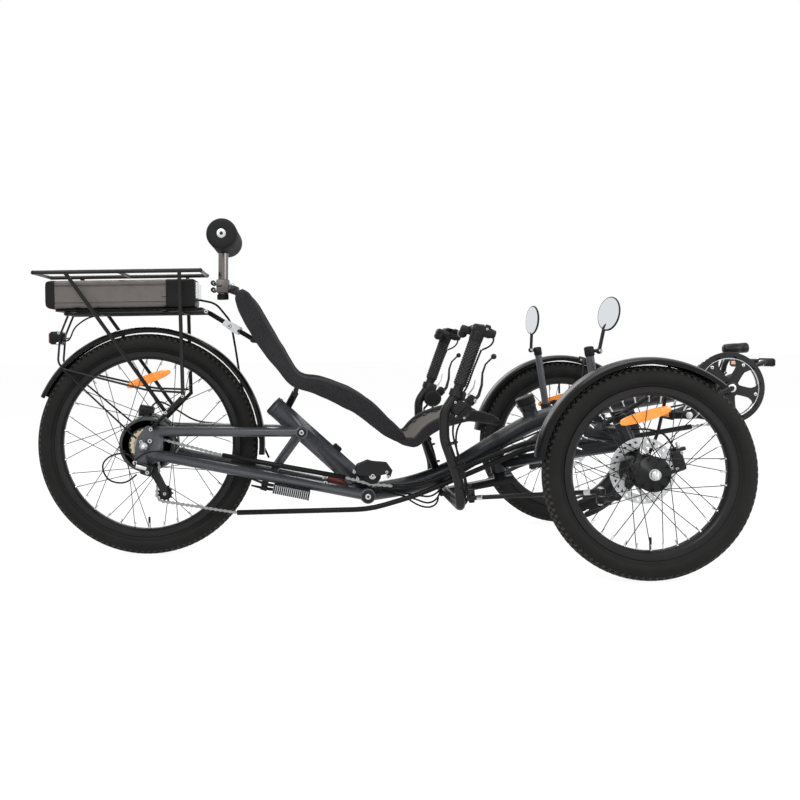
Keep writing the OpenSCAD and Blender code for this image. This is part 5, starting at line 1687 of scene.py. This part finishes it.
for key, side in SIDES.items():
    y = GRIP_Y * side
    cable(key + "_bar_cables", "handlebar", [
        [(800, y + 22 * side, 374), (797, y + 17 * side, 340), (812, y + 16 * side, 290),
         (832, y + 14 * side, 222), (836, y + 4 * side, 176), (832, y - 30 * side, 158),
         (836, y - 170 * side, 157)],
        [(830, y + 6 * side, 384), (806, y + 16 * side, 352), (806, y + 18 * side, 300),
         (828, y + 17 * side, 226), (829, y + 4 * side, 181), (838, y - 34 * side, 166),
         (838, y - 172 * side, 165)],
        [(872, y + 17 * side, 550), (850, y + 19 * side, 500), (836, y + 20 * side, 460),
         (822, y + 21 * side, 440)],
    ])
    ties = Shape()
    for x, z in ((803, 318), (820, 262), (834, 210)):
        ties.turned([(15.4, -2), (16.8, -1.4), (16.8, 1.4), (15.4, 2)], (x - 6, y + 4 * side, z), (-0.25, 0, 1),
            PLASTIC, 24, closed=True)
    ties.piece(key + "_cable_ties", "handlebar")
    hose = cable(key + "_brake_hose", None, [
        [(1318, 337 * side, 306), (1300, 322 * side, 344), (1262, 306 * side, 352),
         (1236, 292 * side, 350), (1204, 262 * side, 356), (1172, 214 * side, 360),
         (1128, 100 * side, 362), (1112, 40 * side, 352)],
    ], 5.0, 24)
    spot(1204, 262 * side, 356)
    spot(1236, 292 * side, 350)
    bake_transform(hose)

cable("under_frame_cables", "frame", [
    [(560, -30, 190), (640, -33, 168), (730, -32, 146), (766, -26, 130), (792, -20, 140), (804, -16, 164)],
    [(640, -33, 174), (742, -36, 154), (778, -34, 150), (810, -31, 178), (850, -31, 224), (930, -30, 264)],
    [(700, -34, 154), (742, -22, 124), (776, -8, 116), (796, -4, 128), (800, 0, 150)],
    [(930, -30, 264), (1010, -28, 298), (1090, -28, 330), (1160, -24, 346), (1260, -24, 356),
     (1420, -24, 382), (1540, -26, 404)],
])
cable("seat_side_cable", "frame", [
    [(141.5, 20, 700), (190, 20, 690), (228, 62, 640), (240, 78, 560), (252, 84, 470), (280, 84, 360),
        (330, 84, 250)]], 6, 20)
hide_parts("frame_cables")
cable("gear_cable", "frame", [
    [(-22, -92, 268), (-41, -94, 290), (-86, -92, 284), (-113, -90, 257), (-96, -88, 214), (-50, -86, 205),
        (-18, -88, 230)],
    [(-22, -92, 268), (10, -95, 292), (60, -97, 292), (200, -92, 264), (400, -78, 222), (560, -66, 190)]], 4.6,
        30)
cable("motor_cable", "frame",
    [[(0, 92, 303), (16, 98, 296), (60, 96, 274), (200, 89, 250), (400, 74, 208), (540, 64, 180)]], 6, 16)
cable("rear_brake_hose", "frame",
    [[(2, 60, 404), (20, 66, 420), (60, 88, 396), (120, 94, 356), (260, 82, 342), (400, 66, 336)]], 5, 30)

# %% [markdown]
# ## Controller box
# The controller is a finned aluminium box under the right-hand stay, with a bundle of moulded
# plugs behind it. The fins are one upright repeated along the side.
# %% Controller box
STAY_REAR = Vector((36, 0, 279.5))
STAY_RUN, STAY_DROP = PIVOT.x - STAY_REAR.x, PIVOT.z - STAY_REAR.z
STAY_SLOPE = math.degrees(math.atan2(STAY_DROP, STAY_RUN))
box_at = Vector((400, -56, STAY_REAR.z + (400 - STAY_REAR.x) / STAY_RUN * STAY_DROP))
tilt = Matrix.Rotation(math.radians(-STAY_SLOPE), 3, "Y")
centre = box_at + tilt @ Vector((0, 0, -14 - 13 - 0.3))
fins = Shape()
fins.block((96, 42, 25), centre, BLACK_METAL, (0, -STAY_SLOPE, 0), soft=2)
for i in range(17):
    for side in (-1, 1):
        fins.block((2.0, 3.2, 23), centre + tilt @ Vector((-44 + 5.5 * i, side * 22.4, 0)), ALLOY,
            (0, -STAY_SLOPE, 0), soft=0.5, steps=1)
for end in (-1, 1):
    fins.block((3, 46, 25.6), centre + tilt @ Vector((end * 48, 0, 0)), BLACK_METAL, (0, -STAY_SLOPE, 0),
        soft=1)
for k, (dy, dz) in enumerate(((-14, 6), (0, 6), (14, 6), (-14, -5), (0, -5), (14, -5))):
    start = centre + tilt @ Vector((-50, dy, dz))
    fins.tube([start, start + Vector((-14, 0, 2)), start + Vector((-34, dy * 0.1, 10 - k)),
        start + Vector((-58, 0, 20 - 2 * k))], 4.4, RUBBER, 8, bend=10)
    fins.turned([(4, -9), (5.4, -8), (5.4, 8), (4, 9)], start + Vector((-24, 0, 5)), (1, 0, -0.3), PLASTIC, 14)
fins.piece("controller_body", "frame", "controller_box")

# %% [markdown]
# ## Mirrors and headlight
# Each mirror is an oval of glass in a thin moulded rim on a ball-jointed stem. The glass lies
# almost flush with the rim.
# %% Mirrors
MIRROR_LONG, MIRROR_SHORT = 44, 31


def oval(across, up, long=MIRROR_LONG, short=MIRROR_SHORT, count=36):
    turns = [2 * math.pi * i / count for i in range(count)]
    return [across * long * math.cos(t) + up * short * math.sin(t) for t in turns]


for key, side, ball, neck, head, turn in (
        ("right", RIGHT, (1169, 543), (1182, 600), (1196, 635), (14, -38)),
            ("left", LEFT, (1124, 546), (1127, 598), (1131, 636), (5, 22))):
    y = GRIP_Y * side
    rotate = Matrix.Rotation(math.radians(side * turn[1]), 3, "Z") @ Matrix.Rotation(math.radians(turn[0]), 3,
        "Y")
    out, tall, wide = rotate @ Vector((1, 0, 0)), rotate @ Vector((0, 0, 1)), rotate @ Vector((0, 1, 0))
    centre = Vector((head[0], y, head[1]))
    made = Shape()
    made.skin([[centre + out * s + p * k for p in oval(tall, wide)] for s, k in
               ((-4.4, 0.93), (-4.4, 0.97), (-2.5, 1), (0, 1), (2.6, 0.94), (4.4, 0.8), (4.9, 0.4))], CONTROL)
    made.skin([[centre + out * s + p * 0.93 for p in oval(tall, wide)] for s in (-4.6, -4.0)], MIRROR_GLASS)
    knuckle = Vector((ball[0], y, ball[1]))
    made.tube([knuckle, Vector((neck[0], y, neck[1])), centre + out * 2 - tall * 20], 0, BLACK_METAL, 14,
        widths=[9, 9, 11])
    made.ball(knuckle, 8, BLACK_METAL)
    made.ball(centre + out * 4 - tall * 14, 7, CONTROL)
    foot, top = Vector((1170, y, 350)), Vector((1143, y, 552))
    run = (top - foot).normalized()
    made.tube([foot, top - run * 4], 20, GRAPHITE, 28)
    made.turned([(10.6, -22), (12, -20), (12, -1), (10, 2), (4, 3)], top, run, PLASTIC, 32)
    made.tube([top - run * 8, knuckle], 9, BLACK_METAL, 14)
    made.bolt(knuckle + Vector((0, -8, 0)), (0, -1, 0), 8, STEEL)
    made.turned([(13, -9), (15, -7), (15, 7), (13, 9)], foot + run * 26, run, BLACK_METAL, 32)
    made.bolt(foot + run * 26 + Vector((15, 0, 0)), (1, 0, 0.2), 8, STEEL)
    made.piece(key + "_mirror", "frame", "mirrors" if side == RIGHT else (), angle=40)

front = Shape()
run = Vector((61, 0, 4)).normalized()
start, end = Vector((1598, 0, 541)), Vector((1659, 0, 545))
front.turned([(6, -6), (11, -4), (14, 0), (14, 40), (13, 42), (14, 44), (14, 59), (12.6, 61)], start, run,
    BLACK_METAL, 40)
front.turned([(12.4, 60.4), (11, 60.9), (4, 61.2)], start, run, CLEAR_LENS, 32)
for i in range(5):
    front.turned([(14, -1), (14.8, -0.6), (14.8, 0.6), (14, 1)], start + run * (8 + 5 * i), run, BLACK_METAL,
        36, closed=True)
front.tube([(1590, 0, 470), (1596, 0, 500), (1616, 0, 532)], 14, BLACK_METAL, 20, bend=12)
front.block((22, 20, 12), (1618, 0, 528), BLACK_METAL, (0, -4, 0), soft=3)
front.turned([(24, -9), (25.6, -8), (25.6, 8), (24, 9)], (1571, 0, 436), Vector((380, 0, 58)), BLACK_METAL, 36)
front.bolt((1594, -8, 476), (0, -1, 0), 8, STEEL)
front.tube([(1600, 0, 536), (1588, -12, 520), (1572, -20, 486), (1540, -26, 404)], 4.4, RUBBER, 10, bend=14)
front.piece("front_lamp", "frame", "headlight")
